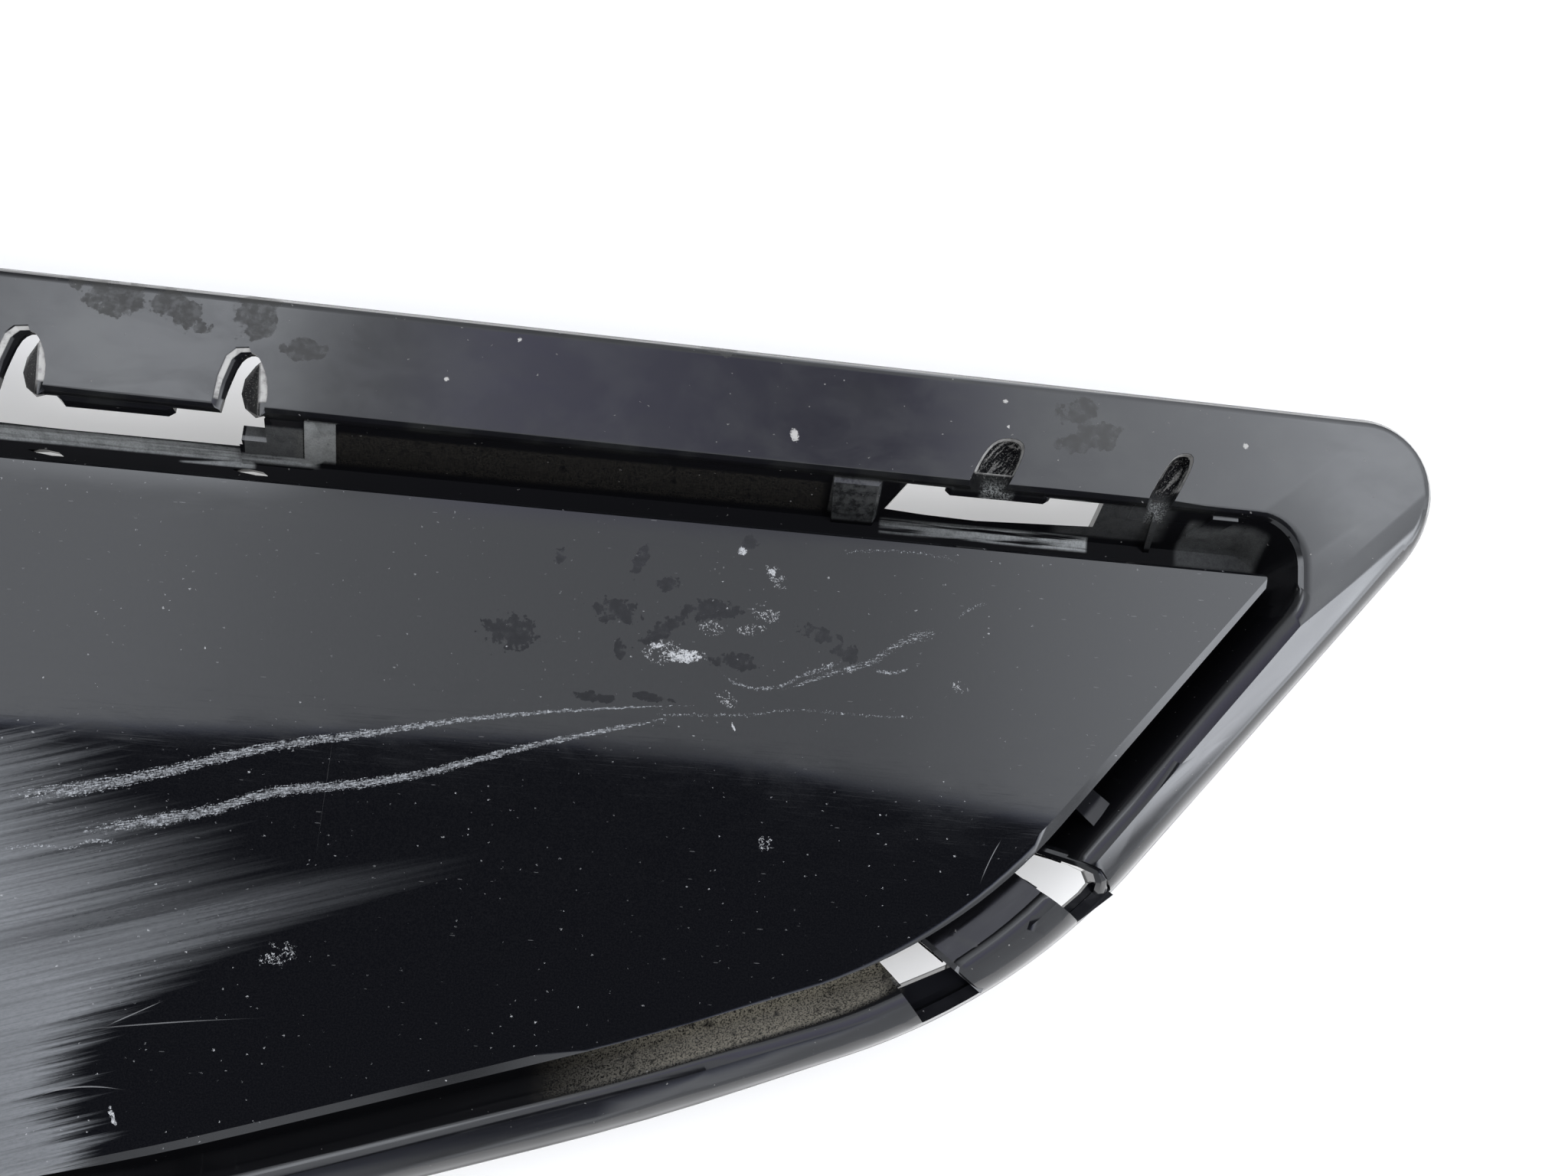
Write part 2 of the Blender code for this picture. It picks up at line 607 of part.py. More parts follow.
def recess_cutters(tools):
    """Stretches of lip taken down either side of the bridge."""
    bm = bmesh.new()
    add_prism(bm, hip([(12.2, 17.2), (13.8, 15.3), (33.6, 3.1), (42.0, 9.0), (35.4, 14.0), (31.6, 18.2), (27.4, 19.6),
                       (18.0, 21.6)]), -10.2, 3.0)
    add_prism(bm, hip([(-8.3, 1.2), (-6.4, -0.4), (11.6, -13.1), (-2.6, -20.4), (-15.5, -5.8), (-16.6, -3.9)]), -10.2, 3.0)
    return helper("recess_cutters", tools, bm)


def opening_cutters(tools):
    """The two hip openings, right through the floor."""
    bm = bmesh.new()
    add_prism(bm, hip([(13.0, 17.0), (14.2, 15.6), (25.7, 9.3), (29.1, 12.4), (30.8, 14.6), (30.3, 16.6), (27.0, 17.9),
                       (19.2, 19.9), (17.9, 20.9)]), -24.0, 3.5)
    add_prism(bm, hip([(-8.0, 0.4), (-6.9, -0.9), (0.6, -6.2), (-9.5, -10.9), (-15.1, -5.7), (-16.0, -4.3)]), -24.0, 3.5)
    return helper("opening_cutters", tools, bm)


def opening_sills(tools):
    """Low sills outside the openings, the curved kerb that closes the flank channel and the bridge's edge."""
    bm = bmesh.new()
    add_prism(bm, hip([(25.0, 8.6), (28.6, 6.0), (36.6, 12.6), (32.4, 15.4), (30.8, 14.6), (29.1, 12.4)]), -12.6, -10.6)
    add_prism(bm, hip([(4.0, -6.2), (8.0, -9.2), (-6.6, -16.9), (-9.9, -13.6)]), -13.3, -11.4)
    return helper("opening_sills", tools, bm)


def opening_ledge(tools):
    """Higher step between the second opening and its sill."""
    bm = bmesh.new()
    add_prism(bm, hip([(1.6, -4.9), (4.9, -6.9), (-9.0, -14.6), (-11.6, -11.2)]), -13.6, -9.4)
    return helper("opening_ledge", tools, bm)


def opening_kerb(tools):
    """Curved kerb between the flank channel and the first opening."""
    inner = hip([(17.5, 20.7), (19.3, 20.2), (27.1, 18.2), (30.3, 17.0), (31.3, 14.9), (31.9, 12.4)])
    outer = hip([(18.4, 23.0), (20.0, 22.6), (28.0, 20.9), (32.4, 19.2), (34.4, 16.4), (35.0, 13.0)])
    tops = [-9.0, -8.2, -5.6, -5.0, -6.0, -9.6]
    bm = bmesh.new()
    rings = []
    for (ax, ay), (bx, by), top in zip(inner, outer, tops):
        ring = [(ax, ay, FLOOR_Z - SINK), (ax, ay, top - 0.9), ((2 * ax + bx) / 3, (2 * ay + by) / 3, top),
                ((ax + 2 * bx) / 3, (ay + 2 * by) / 3, top), (bx, by, top - 0.9), (bx, by, FLOOR_Z - SINK)]
        rings.append([bm.verts.new(Vector(p) * MM) for p in ring])
    for r, t in zip(rings, rings[1:]):
        for i in range(6):
            j = (i + 1) % 6
            bm.faces.new((r[i], r[j], t[j], t[i]))
    bm.faces.new(rings[0])
    bm.faces.new(list(reversed(rings[-1])))
    return helper("opening_kerb", tools, bm)


def bridge_edge(tools):
    """Raised bead along the lower edge of the bridge."""
    bm = bmesh.new()
    a, b = Vector((-6.6, -0.2)), Vector((7.4, -10.2))
    side = Vector((b.y - a.y, a.x - b.x)).normalized()
    line = [a, a.lerp(b, 0.5), b]
    tops = [-7.6, -4.3, -8.8]
    pts = []
    for p, top in zip(line, tops):
        for off, z in ((-0.4, top), (0.8, top - 0.4), (1.0, -12.7), (-0.4, -12.7)):
            q = p - side * off
            pts.append((q.x, q.y, z))
    add_hull(bm, hip(pts))
    return helper("bridge_edge", tools, bm)


def screw_hole_cutters(tools):
    bm = bmesh.new()
    for entry in SCREWS:
        place, _ = spot(entry)
        add_cylinder(bm, place, SCREW_R + SCREW_CLEAR, UNDER_Z - 2.0, FLOOR_Z + 2.0, 16)
    return helper("screw_hole_cutters", tools, bm)


def tray_hooks(tools):
    """Hook ledges under the tongues, with a sloped lead-in."""
    bm = bmesh.new()
    for x0, x1, lip in ((-274.0, -249.0, 16.0), (-75.2, -50.8, 15.2)):
        for_x = (TIP_X + x0, TIP_X + x1)
        nose = (TIP_X + x0 + 1.2, TIP_X + x1 - 1.4)
        add_hull(bm, [(x, lip - 2.7, -4.0) for x in nose] + [(x, lip - 1.9, -2.0) for x in nose]
                 + [(x, lip - 1.7, -4.0) for x in for_x] + [(x, lip - 1.1, -2.0) for x in for_x]
                 + [(x, lip + 2.6, -4.0) for x in for_x] + [(x, lip + 2.6, -1.3) for x in for_x]
                 + [(x, lip + 0.6, -1.3) for x in for_x])
    return helper("tray_hooks", tools, bm)


def swell(x, y):
    """Height of the panel's gentle crown: zero at each side, levelling off towards the middle."""
    lift = CROWN
    for k in (TOP, FLANK, LOW_A, LOW_C, LEFT):
        a, _, _, out_dir = side_frame(k)
        inside = max(0.0, (a - Vector((x, y))).dot(out_dir))
        lift *= 1.0 - math.exp(-inside / CROWN_REACH)
    return lift


def build_panel(coll, tools, mat):
    z_foot = FLOOR_Z + FIT_GAP
    bevel = [((-0.6, -0.6)), ((-0.6, -0.6)), ((-1.4, -2.9)), ((-3.4, -2.0)), ((-2.0, -1.8)), ((-1.8, -1.5)),
             ((-1.2, -0.8))]
    drop = [(0.5, 0.5), (0.6, 0.8), (0.9, 1.4), (1.5, 1.1), (1.1, 1.0), (1.0, 0.9), (0.7, 0.5)]
    count = len(BASE)
    foot = contour([((-1.2, z_foot), (-1.2, z_foot))] * count)
    edge = contour([((0.0, -drop[k][0]), (0.0, -drop[k][1])) for k in range(count)])
    rim = contour([((bevel[k][0], 0.0), (bevel[k][1], 0.0)) for k in range(count)])
    cx = sum(p[0] for p in rim) / len(rim)
    cy = sum(p[1] for p in rim) / len(rim)

    def ring(source, f, lift):
        flat = [(cx + (p[0] - cx) * f, cy + (p[1] - cy) * f) for p in source]
        return [(x, y, lift + swell(x, y)) for x, y in flat]

    tucked = [((-WALL - 0.2, 0.0), (-WALL - 0.2, 0.0)) for _ in range(count)]
    tucked[CHEEK] = ((-WALL - 3.4, 0.0), (-WALL - 3.4, 0.0))
    inner_foot = [((d0[0] - 0.6, z_foot), (d1[0] - 0.6, z_foot)) for d0, d1 in tucked]
    inner_top = [((d0[0], -WALL - 1.4), (d1[0], -WALL - 1.4)) for d0, d1 in tucked]
    inner = contour(inner_top)
    loops = [ring(rim, f, 0.0) for f in (0.2, 0.4, 0.6, 0.78, 0.9, 0.97, 1.0)] + [edge, foot]
    loops += [contour(inner_foot), inner]
    loops += [ring(inner, f, -WALL) for f in (0.96, 0.8, 0.5)]
    mesh = loft("gloss_panel", loops, True, True)
    obj = bpy.data.objects.new("gloss_panel", mesh)
    coll.objects.link(obj)
    obj.data.materials.append(mat)

    posts = bmesh.new()
    pilots = bmesh.new()
    for entry in SCREWS:
        place, _ = spot(entry)
        add_cylinder(posts, place, BOSS_R, z_foot, -WALL + swell(*place[:2]) + 0.9, 20)
        add_cylinder(pilots, place, SCREW_R + SCREW_CLEAR, z_foot - 2.0, z_foot + SCREW_BITE + 0.6, 16)
    boolean(obj, helper("panel_posts", tools, posts), "UNION")
    boolean(obj, helper("panel_pilots", tools, pilots), "DIFFERENCE")
    return obj


def build_screws(coll, tools, mat):
    """Hex-headed thread-forming screws with a washer face, pushed up through the plate."""
    head_top = UNDER_Z - FIT_GAP
    reach = FIT_GAP + WALL + FIT_GAP + SCREW_BITE
    washer = 0.9
    profile = [(0.0, -washer), (SCREW_HEAD_R - 0.5, -washer), (SCREW_HEAD_R, -washer + 0.4), (SCREW_HEAD_R, 0.0),
               (SCREW_R, 0.0), (SCREW_R, reach - 1.4), (0.6, reach), (0.0, reach)]
    bm = bmesh.new()
    verts = [bm.verts.new((r * MM, 0.0, z * MM)) for r, z in profile]
    edges = [bm.edges.new(pair) for pair in zip(verts, verts[1:])]
    bmesh.ops.spin(bm, geom=verts + edges, cent=(0, 0, 0), axis=(0, 0, 1), angle=math.tau, steps=18,
                   use_merge=True, use_duplicate=False)
    bmesh.ops.remove_doubles(bm, verts=bm.verts, dist=1e-6)
    stem = helper("screw_stem", tools, bm)
    head = bmesh.new()
    add_cylinder(head, (0.0, 0.0), 0.76 * SCREW_HEAD_R, -SCREW_HEAD_H, -washer / 2, 6)
    boolean(stem, helper("screw_hex", tools, head), "UNION")
    deps = bpy.context.evaluated_depsgraph_get()
    mesh = bpy.data.meshes.new_from_object(stem.evaluated_get(deps))
    mesh.name = "screw"
    mesh.materials.append(mat)
    for i, entry in enumerate(SCREWS):
        place, _ = spot(entry)
        obj = bpy.data.objects.new("screw_%d" % (i + 1), mesh)
        obj.location = Vector((place[0], place[1], head_top)) * MM
        coll.objects.link(obj)


def build_clips(coll, mat):
    """Folded spring clips with flared barbs, each straddling one blade."""
    half = BLADE_THICK / 2 + FIT_GAP
    s = CLIP_SHEET
    top = CLIP_HEIGHT
    bulge = 0.6 * CLIP_HEIGHT
    left = [(-half - s - 0.9, top), (-half - s - CLIP_SPREAD, bulge), (-half - s, 1.8), (-half - s + 0.5, 0.0)]
    right = [(-y, z) for y, z in reversed(left)]
    inner = [(half + 0.2, top), (half + CLIP_SPREAD - 0.7, bulge), (half, 2.0), (half - 0.4, s)]
    ring = left + right + inner + [(-y, z) for y, z in reversed(inner)]
    bm = bmesh.new()
    verts = [bm.verts.new(Vector((-CLIP_WIDTH / 2, y, z)) * MM) for y, z in ring]
    face = bm.faces.new(verts)
    out = bmesh.ops.extrude_face_region(bm, geom=[face])
    moved = [v for v in out["geom"] if isinstance(v, bmesh.types.BMVert)]
    bmesh.ops.translate(bm, verts=moved, vec=Vector((CLIP_WIDTH * MM, 0, 0)))
    bmesh.ops.recalc_face_normals(bm, faces=bm.faces)
    mesh = bpy.data.meshes.new("clip")
    bm.to_mesh(mesh)
    bm.free()
    mesh.materials.append(mat)
    for i, (place, angle, _) in enumerate(blade_spots()):
        obj = bpy.data.objects.new("clip_%d" % (i + 1), mesh)
        obj.location = Vector((place[0], place[1], BASE_Z)) * MM
        obj.rotation_euler = (0, 0, angle)
        coll.objects.link(obj)


def build_seals(coll, mat):
    """Foam strips stuck along the back of the flange."""
    out = FLANGE_EDGE_RIGHT - SEAL_MARGIN - SEAL_WIDTH / 2
    for name, lo, hi in (("seal_left", 0.04, 0.46), ("seal_right", 0.53, 0.95)):
        a = along(TOP, lo * TOP_RUN, out)
        b = along(TOP, hi * TOP_RUN, out - 1.2)
        bpy.ops.mesh.primitive_cube_add(size=1.0)
        obj = bpy.context.object
        obj.name = name
        obj.data.name = name
        for other in list(obj.users_collection):
            other.objects.unlink(obj)
        coll.objects.link(obj)
        obj.scale = (math.hypot(b[0] - a[0], b[1] - a[1]) * MM, SEAL_WIDTH * MM, SEAL_THICK * MM)
        obj.location = Vector(((a[0] + b[0]) / 2, (a[1] + b[1]) / 2, -WALL - FIT_GAP - SEAL_THICK / 2)) * MM
        obj.rotation_euler = (0, 0, math.atan2(b[1] - a[1], b[0] - a[0]))
        obj.data.materials.append(mat)


def stand_on_base(objects):
    """Parent the pieces to an empty that puts the middle of their footprint on the origin."""
    deps = bpy.context.evaluated_depsgraph_get()
    lo = Vector((1e9, 1e9, 1e9))
    hi = -lo
    for obj in objects:
        ev = obj.evaluated_get(deps)
        for corner in ev.bound_box:
            p = ev.matrix_world @ Vector(corner)
            lo = Vector(map(min, lo, p))
            hi = Vector(map(max, hi, p))
    root = bpy.data.objects.new("trim_root", None)
    bpy.context.scene.collection.objects.link(root)
    root.location = (-(lo.x + hi.x) / 2, -(lo.y + hi.y) / 2, -lo.z)
    return root


def main():
    clear_scene()
    gloss = make_material("gloss_black_panel", (0.012, 0.012, 0.014), 0.08)
    tray = make_material("gloss_black_tray", (0.014, 0.014, 0.015), 0.16)
    steel = make_material("zinc_steel_screw", (0.55, 0.55, 0.56), 0.35, 1.0)
    spring = make_material("spring_steel_clip", (0.20, 0.20, 0.21), 0.40, 1.0)
    foam = make_material("foam_seal", (0.03, 0.03, 0.03), 0.95)
    tools = new_collection("cutters")
    body = new_collection("grille_trim")
    build_tray(body, tools, tray)
    build_panel(body, tools, gloss)
    build_screws(body, tools, steel)
    build_clips(body, spring)
    build_seals(body, foam)
    bpy.context.view_layer.update()
    root = stand_on_base(list(body.objects))
    for obj in list(body.objects) + list(tools.objects):
        obj.parent = root


if __name__ == "__main__":
    main()
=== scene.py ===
"""Finish, wear marks and studio for a gloss black clip-in cover panel."""
import math

import bmesh
import bpy
from bpy.props import FloatProperty, FloatVectorProperty, IntProperty, PointerProperty
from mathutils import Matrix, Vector


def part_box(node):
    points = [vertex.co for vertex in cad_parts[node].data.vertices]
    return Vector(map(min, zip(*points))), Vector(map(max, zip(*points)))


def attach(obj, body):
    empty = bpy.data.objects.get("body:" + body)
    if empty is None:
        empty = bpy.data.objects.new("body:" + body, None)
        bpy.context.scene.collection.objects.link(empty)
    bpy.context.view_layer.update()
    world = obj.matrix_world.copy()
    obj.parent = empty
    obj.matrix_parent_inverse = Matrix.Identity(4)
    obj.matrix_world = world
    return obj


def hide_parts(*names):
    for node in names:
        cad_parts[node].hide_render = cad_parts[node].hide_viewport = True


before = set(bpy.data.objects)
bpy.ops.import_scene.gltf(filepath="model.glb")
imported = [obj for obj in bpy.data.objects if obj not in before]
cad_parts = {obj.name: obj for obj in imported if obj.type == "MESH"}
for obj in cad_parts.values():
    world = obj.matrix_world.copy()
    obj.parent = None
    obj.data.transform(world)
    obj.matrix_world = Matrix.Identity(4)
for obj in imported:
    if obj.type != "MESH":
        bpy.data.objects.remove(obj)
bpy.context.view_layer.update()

bl_info = {
    "name": "Gloss cover panel",
    "version": (1, 0, 0),
    "blender": (4, 5, 0),
    "location": "View3D > Sidebar > Cover Panel",
    "description": "Builds the finish of a gloss black clip-in cover panel with its screws, clips and seals",
    "category": "Object",
}

MM = 0.001

# The panel's pointed corner, at the height of the flange's face: marks are placed from here, in millimetres.
FACE_Z = 0.0322
CORNER = Vector((*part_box("gloss_panel")[1].xy, FACE_Z))
# Sides of the panel that its crown rises from: a place on each and the way it faces in degrees.
CROWN_SIDES = ((0.0, 0.0, 90.0), (0.0, -2.5, -38.5), (-67.1, -87.0, -70.4), (-226.2, -139.0, -76.6),
               (-377.2, 0.0, 180.0))
CROWN_HEIGHT, CROWN_REACH = 1.2, 60.0
ROOT = "root"


# ---------------------------------------------------------------- node helpers

class Value:
    """A node's output, which adds and multiplies like a number."""

    def __init__(self, nodes, socket):
        self.nodes, self.socket = nodes, socket

    def math(self, operation, other=0.0):
        return self.nodes.take("ShaderNodeMath", {0: self, 1: other}, operation=operation)

    def __add__(self, other):
        return self.math("ADD", other)

    def __mul__(self, other):
        return self.math("MULTIPLY", other)

    def __sub__(self, other):
        return self.math("SUBTRACT", other)

    def __rsub__(self, other):
        return self.nodes.take("ShaderNodeMath", {0: other, 1: self}, operation="SUBTRACT")

    def __truediv__(self, other):
        return self.math("DIVIDE", other)

    __radd__, __rmul__ = __add__, __mul__

    def ramp(self, start, end, low=0.0, high=1.0, smooth=True):
        """Goes from low to high while this goes from start to end, and stays there."""
        kind = "SMOOTHSTEP" if smooth else "LINEAR"
        inputs = dict(enumerate((self, start, end, low, high)))
        return self.nodes.take("ShaderNodeMapRange", inputs, interpolation_type=kind, clamp=True)

    def between(self, start, end, soft):
        """One from start to end, fading to nothing over the soft distance outside."""
        return self.ramp(start - soft, start) * self.ramp(end, end + soft, 1.0, 0.0)

    def split(self):
        return list(self.nodes.outputs("ShaderNodeSeparateXYZ", {0: self}).values())

    def noise(self, scale, detail=3.0, rough=0.55, twist=0.0):
        inputs = {"Vector": self, "Scale": scale, "Detail": detail, "Roughness": rough, "Distortion": twist}
        return self.nodes.take("ShaderNodeTexNoise", inputs, "Fac")

    def cells(self, scale):
        """Distance to the nearest of many scattered places, and a colour that is its own."""
        found = self.nodes.outputs("ShaderNodeTexVoronoi", {"Vector": self, "Scale": scale})
        return found["Distance"], found["Color"]

    def blend(self, a, b):
        """Goes from one colour to another, each three numbers or a node's, as this goes from 0 to 1."""
        a, b = (c if isinstance(c, Value) else (*c, 1.0) for c in (a, b))
        return self.nodes.take("ShaderNodeMix", {0: self, 6: a, 7: b}, 2, data_type="RGBA")

    def fade(self, a, b):
        """Goes from one number to another as this goes from 0 to 1."""
        return self.nodes.take("ShaderNodeMix", {0: self, 2: a, 3: b}, data_type="FLOAT")

    def line(self, points):
        """Height of a drawn curve through points."""
        xs, ys = zip(*points)
        low, high = min(ys) - 1.0, max(ys) + 1.0
        node = self.nodes.add("ShaderNodeFloatCurve", {"Value": self.ramp(xs[0], xs[-1], smooth=False)})
        curve = node.mapping.curves[0]
        spots = [((x - xs[0]) / (xs[-1] - xs[0]), (y - low) / (high - low)) for x, y in points]
        curve.points[0].location = spots[0]
        curve.points[1].location = spots[-1]
        for spot in spots[1:-1]:
            curve.points.new(*spot)
        node.mapping.update()
        return Value(self.nodes, node.outputs[0]).ramp(0.0, 1.0, low, high, smooth=False)


class Nodes:
    """Adds nodes to one tree and wires numbers, colours or other nodes' outputs into their sockets."""

    def __init__(self, tree):
        self.tree = tree

    def fill(self, node, inputs):
        for name, value in inputs.items():
            if isinstance(value, Value):
                self.tree.links.new(value.socket, node.inputs[name])
            else:
                node.inputs[name].default_value = value

    def add(self, kind, inputs, **settings):
        node = self.tree.nodes.new(kind)
        for key, value in settings.items():
            setattr(node, key, value)
        self.fill(node, inputs)
        return node

    def outputs(self, kind, inputs=None):
        """Adds a node and gives all its outputs by name."""
        return {socket.name: Value(self, socket) for socket in self.add(kind, inputs or {}).outputs}

    def take(self, kind, inputs=None, output=0, **settings):
        """Adds a node and gives one of its outputs."""
        return Value(self, self.add(kind, inputs or {}, **settings).outputs[output])


def join(x, y, z=0.0):
    return x.nodes.take("ShaderNodeCombineXYZ", {0: x, 1: y, 2: z})


def most(first, *others):
    for other in others:
        first = first.math("MAXIMUM", other)
    return first


def turned(x, y, degrees):
    """Distances along and across a direction in the plane of the face."""
    c, s = math.cos(math.radians(degrees)), math.sin(math.radians(degrees))
    return x * c + y * s, x * -s + y * c


def patches(x, y, ragged, spots):
    """Ragged blots: each is centre x, centre y, half length, half height and lean in degrees."""
    masks = []
    for cx, cy, rx, ry, lean in spots:
        along, across = turned(x - cx, y - cy, lean)
        along, across = along / rx, across / ry
        masks.append(1.0 - (along * along + across * across))
    return (most(*masks) + ragged).ramp(0.0, 0.25)


def specks(place, scale, smallest, largest, share):
    """Round flecks scattered one to a cell; share is how many cells hold one."""
    distance, colour = place.cells(scale)
    pick = colour.split()[0]
    size = pick.ramp(1.0 - share, 1.0, smallest, largest, smooth=False)
    return (size - distance).ramp(0.0, 0.02) * pick.math("GREATER_THAN", 1.0 - share)


def relief(height, strength, distance, **base):
    """Normal with fine relief, on the surface's own normal or on the one given."""
    inputs = {"Strength": strength, "Distance": distance, "Height": height, **base}
    return height.nodes.take("ShaderNodeBump", inputs)


def new_material(name):
    """Material, the helper that adds nodes to it, and its empty Principled surface."""
    material = bpy.data.materials.new(name)
    material.use_nodes = True
    return material, Nodes(material.node_tree), material.node_tree.nodes["Principled BSDF"]


def part_place(nodes):
    """Position on the part in millimetres, from the panel's pointed corner: x, y, z and the whole vector."""
    coords = nodes.take("ShaderNodeTexCoord", output="Object")
    moved = nodes.take("ShaderNodeVectorMath", {0: coords, 1: CORNER}, operation="SUBTRACT")
    place = nodes.take("ShaderNodeVectorMath", {0: moved, "Scale": 1.0 / MM}, operation="SCALE")
    return *place.split(), place


# ---------------------------------------------------------------- settings

class PlasticSettings(bpy.types.PropertyGroup):
    panel_colour: FloatVectorProperty(
        name="Panel colour", description="Colour of the high-gloss panel's plastic", subtype="COLOR",
        size=3, min=0.0, max=1.0, default=(0.0026, 0.0027, 0.0034))
    tray_colour: FloatVectorProperty(
        name="Tray colour", description="Colour of the tray's plastic", subtype="COLOR",
        size=3, min=0.0, max=1.0, default=(0.0045, 0.0045, 0.0052))
    wear_colour: FloatVectorProperty(
        name="Scratch colour", description="Colour of plastic torn open by a scratch", subtype="COLOR",
        size=3, min=0.0, max=1.0, default=(0.37, 0.38, 0.39))
    haze_colour: FloatVectorProperty(
        name="Scuff colour", description="Colour of plastic dulled by rubbing", subtype="COLOR",
        size=3, min=0.0, max=1.0, default=(0.162, 0.167, 0.172))
    dust_colour: FloatVectorProperty(
        name="Road dust colour", description="Colour of the dust that lies in the channels", subtype="COLOR",
        size=3, min=0.0, max=1.0, default=(0.22, 0.2, 0.155))
    # Also scales the tray's painted reflections and painted rim highlight.
    wear: FloatProperty(
        name="Wear", description="How strongly scratches, scuffs and stains show", subtype="FACTOR",
        min=0.0, max=1.0, default=1.0)
    edge_round: FloatProperty(
        name="Edge rounding", description="Radius of the moulded edges", unit="LENGTH", subtype="DISTANCE",
        min=0.00005, max=0.001, default=0.0003)
    facet_angle: FloatProperty(
        name="Smoothing angle", description="Edges flatter than this are shaded as one curved surface",
        subtype="ANGLE", min=0.0, max=1.5, default=math.radians(28.0))


class FixingSettings(bpy.types.PropertyGroup):
    thread_pitch: FloatProperty(
        name="Thread pitch", description="Distance between turns of the screws' thread", unit="LENGTH",
        subtype="DISTANCE", min=0.0005, max=0.003, default=0.0014)
    thread_height: FloatProperty(
        name="Thread height", description="How far the thread stands out from the screw's core",
        unit="LENGTH", subtype="DISTANCE", min=0.0001, max=0.0008, default=0.0004)
    socket_depth: FloatProperty(
        name="Recess depth", description="Depth of the dish in a screw's head", unit="LENGTH",
        subtype="DISTANCE", min=0.0, max=0.0015, default=0.0006)
    clip_sheet: FloatProperty(
        name="Clip sheet", description="Thickness of the spring clips' steel", unit="LENGTH",
        subtype="DISTANCE", min=0.0003, max=0.001, default=0.0006)
    clip_teeth: IntProperty(
        name="Clip teeth", description="Barbs pressed out of each side of a clip", min=1, max=4, default=2)
    zinc_colour: FloatVectorProperty(
        name="Zinc colour", description="Colour of the screws' plating", subtype="COLOR", size=3,
        min=0.0, max=1.0, default=(0.6, 0.59, 0.55))
    spring_colour: FloatVectorProperty(
        name="Clip colour", description="Colour of the phosphated spring steel", subtype="COLOR", size=3,
        min=0.0, max=1.0, default=(0.2, 0.19, 0.18))
    foam_colour: FloatVectorProperty(
        name="Foam colour", description="Colour of the seals' foam", subtype="COLOR", size=3,
        min=0.0, max=1.0, default=(0.03, 0.03, 0.031))
    foam_bulge: FloatProperty(
        name="Foam bulge", description="How far the sides of the foam pull in at their edges", unit="LENGTH",
        subtype="DISTANCE", min=0.0, max=0.001, default=0.0005)


class StudioSettings(bpy.types.PropertyGroup):
    floor_colour: FloatVectorProperty(
        name="Floor colour", description="Colour of the table top", subtype="COLOR", size=3,
        min=0.0, max=1.0, default=(0.98, 0.97, 0.955))
    floor_size: FloatProperty(
        name="Floor size", description="Side of the table top", unit="LENGTH", subtype="DISTANCE",
        min=1.0, max=20.0, default=6.0)
    sky_level: FloatProperty(
        name="Overhead light", description="Brightness of the soft light overhead", min=0.1, max=3.0,
        default=1.22)
    card_level: FloatProperty(
        name="Dark card level", description="Brightness of the dark card above the lower half",
        min=0.0, max=1.0, default=0.03)
    window_level: FloatProperty(
        name="Soft window level", description="Brightness of the low soft windows", min=0.0, max=12.0,
        default=3.2)
    lamp_power: FloatProperty(
        name="Lamp strength", description="Strength of the low soft lamp", min=0.0, max=5.0, default=1.1)
    eye: FloatVectorProperty(
        name="Camera place", description="Where the camera stands", unit="LENGTH", subtype="TRANSLATION",
        size=3, default=(0.05718, 0.01237, 0.29026))
    gaze: FloatVectorProperty(
        name="Camera turn", description="Camera's rotation", subtype="EULER", size=3,
        default=tuple(math.radians(a) for a in (9.972, -3.788, 4.647)))
    lens: FloatProperty(
        name="Focal length", description="Camera lens on a 36 mm sensor", unit="CAMERA", min=10.0,
        max=200.0, default=27.19)


# ---------------------------------------------------------------- objects and meshes

def put(name, data):
    """New object in the scene."""
    thing = bpy.data.objects.new(name, data)
    bpy.context.scene.collection.objects.link(thing)
    return thing


def finished(work, name):
    """Mesh with smooth faces from a worked one."""
    mesh = bpy.data.meshes.new(name)
    work.to_mesh(mesh)
    work.free()
    mesh.polygons.foreach_set("use_smooth", [True] * len(mesh.polygons))
    return mesh


# ---------------------------------------------------------------- stage

# The table top's own shade, and how strongly it glows where it is seen and where it is mirrored.
FLOOR_SHADE, FLOOR_SEEN, FLOOR_MIRRORED = 0.62, 0.33, 0.72


def make_floor(studio):
    work = bmesh.new()
    bmesh.ops.create_grid(work, x_segments=4, y_segments=4, size=studio.floor_size / 2)
    mesh = finished(work, "table_top")
    put("table_top", mesh)
    material, nodes, surface = new_material("table_top_white")
    path = nodes.outputs("ShaderNodeLightPath")
    seen = most(path["Is Camera Ray"], path["Is Transmission Ray"])
    nodes.fill(surface, {
        "Base Color": (*(FLOOR_SHADE * c for c in studio.floor_colour), 1.0), "Roughness": 0.9,
        "Specular IOR Level": 0.0, "Emission Color": (*studio.floor_colour, 1.0),
        "Emission Strength": most(seen * FLOOR_SEEN, path["Is Glossy Ray"] * FLOOR_MIRRORED)})
    mesh.materials.append(material)


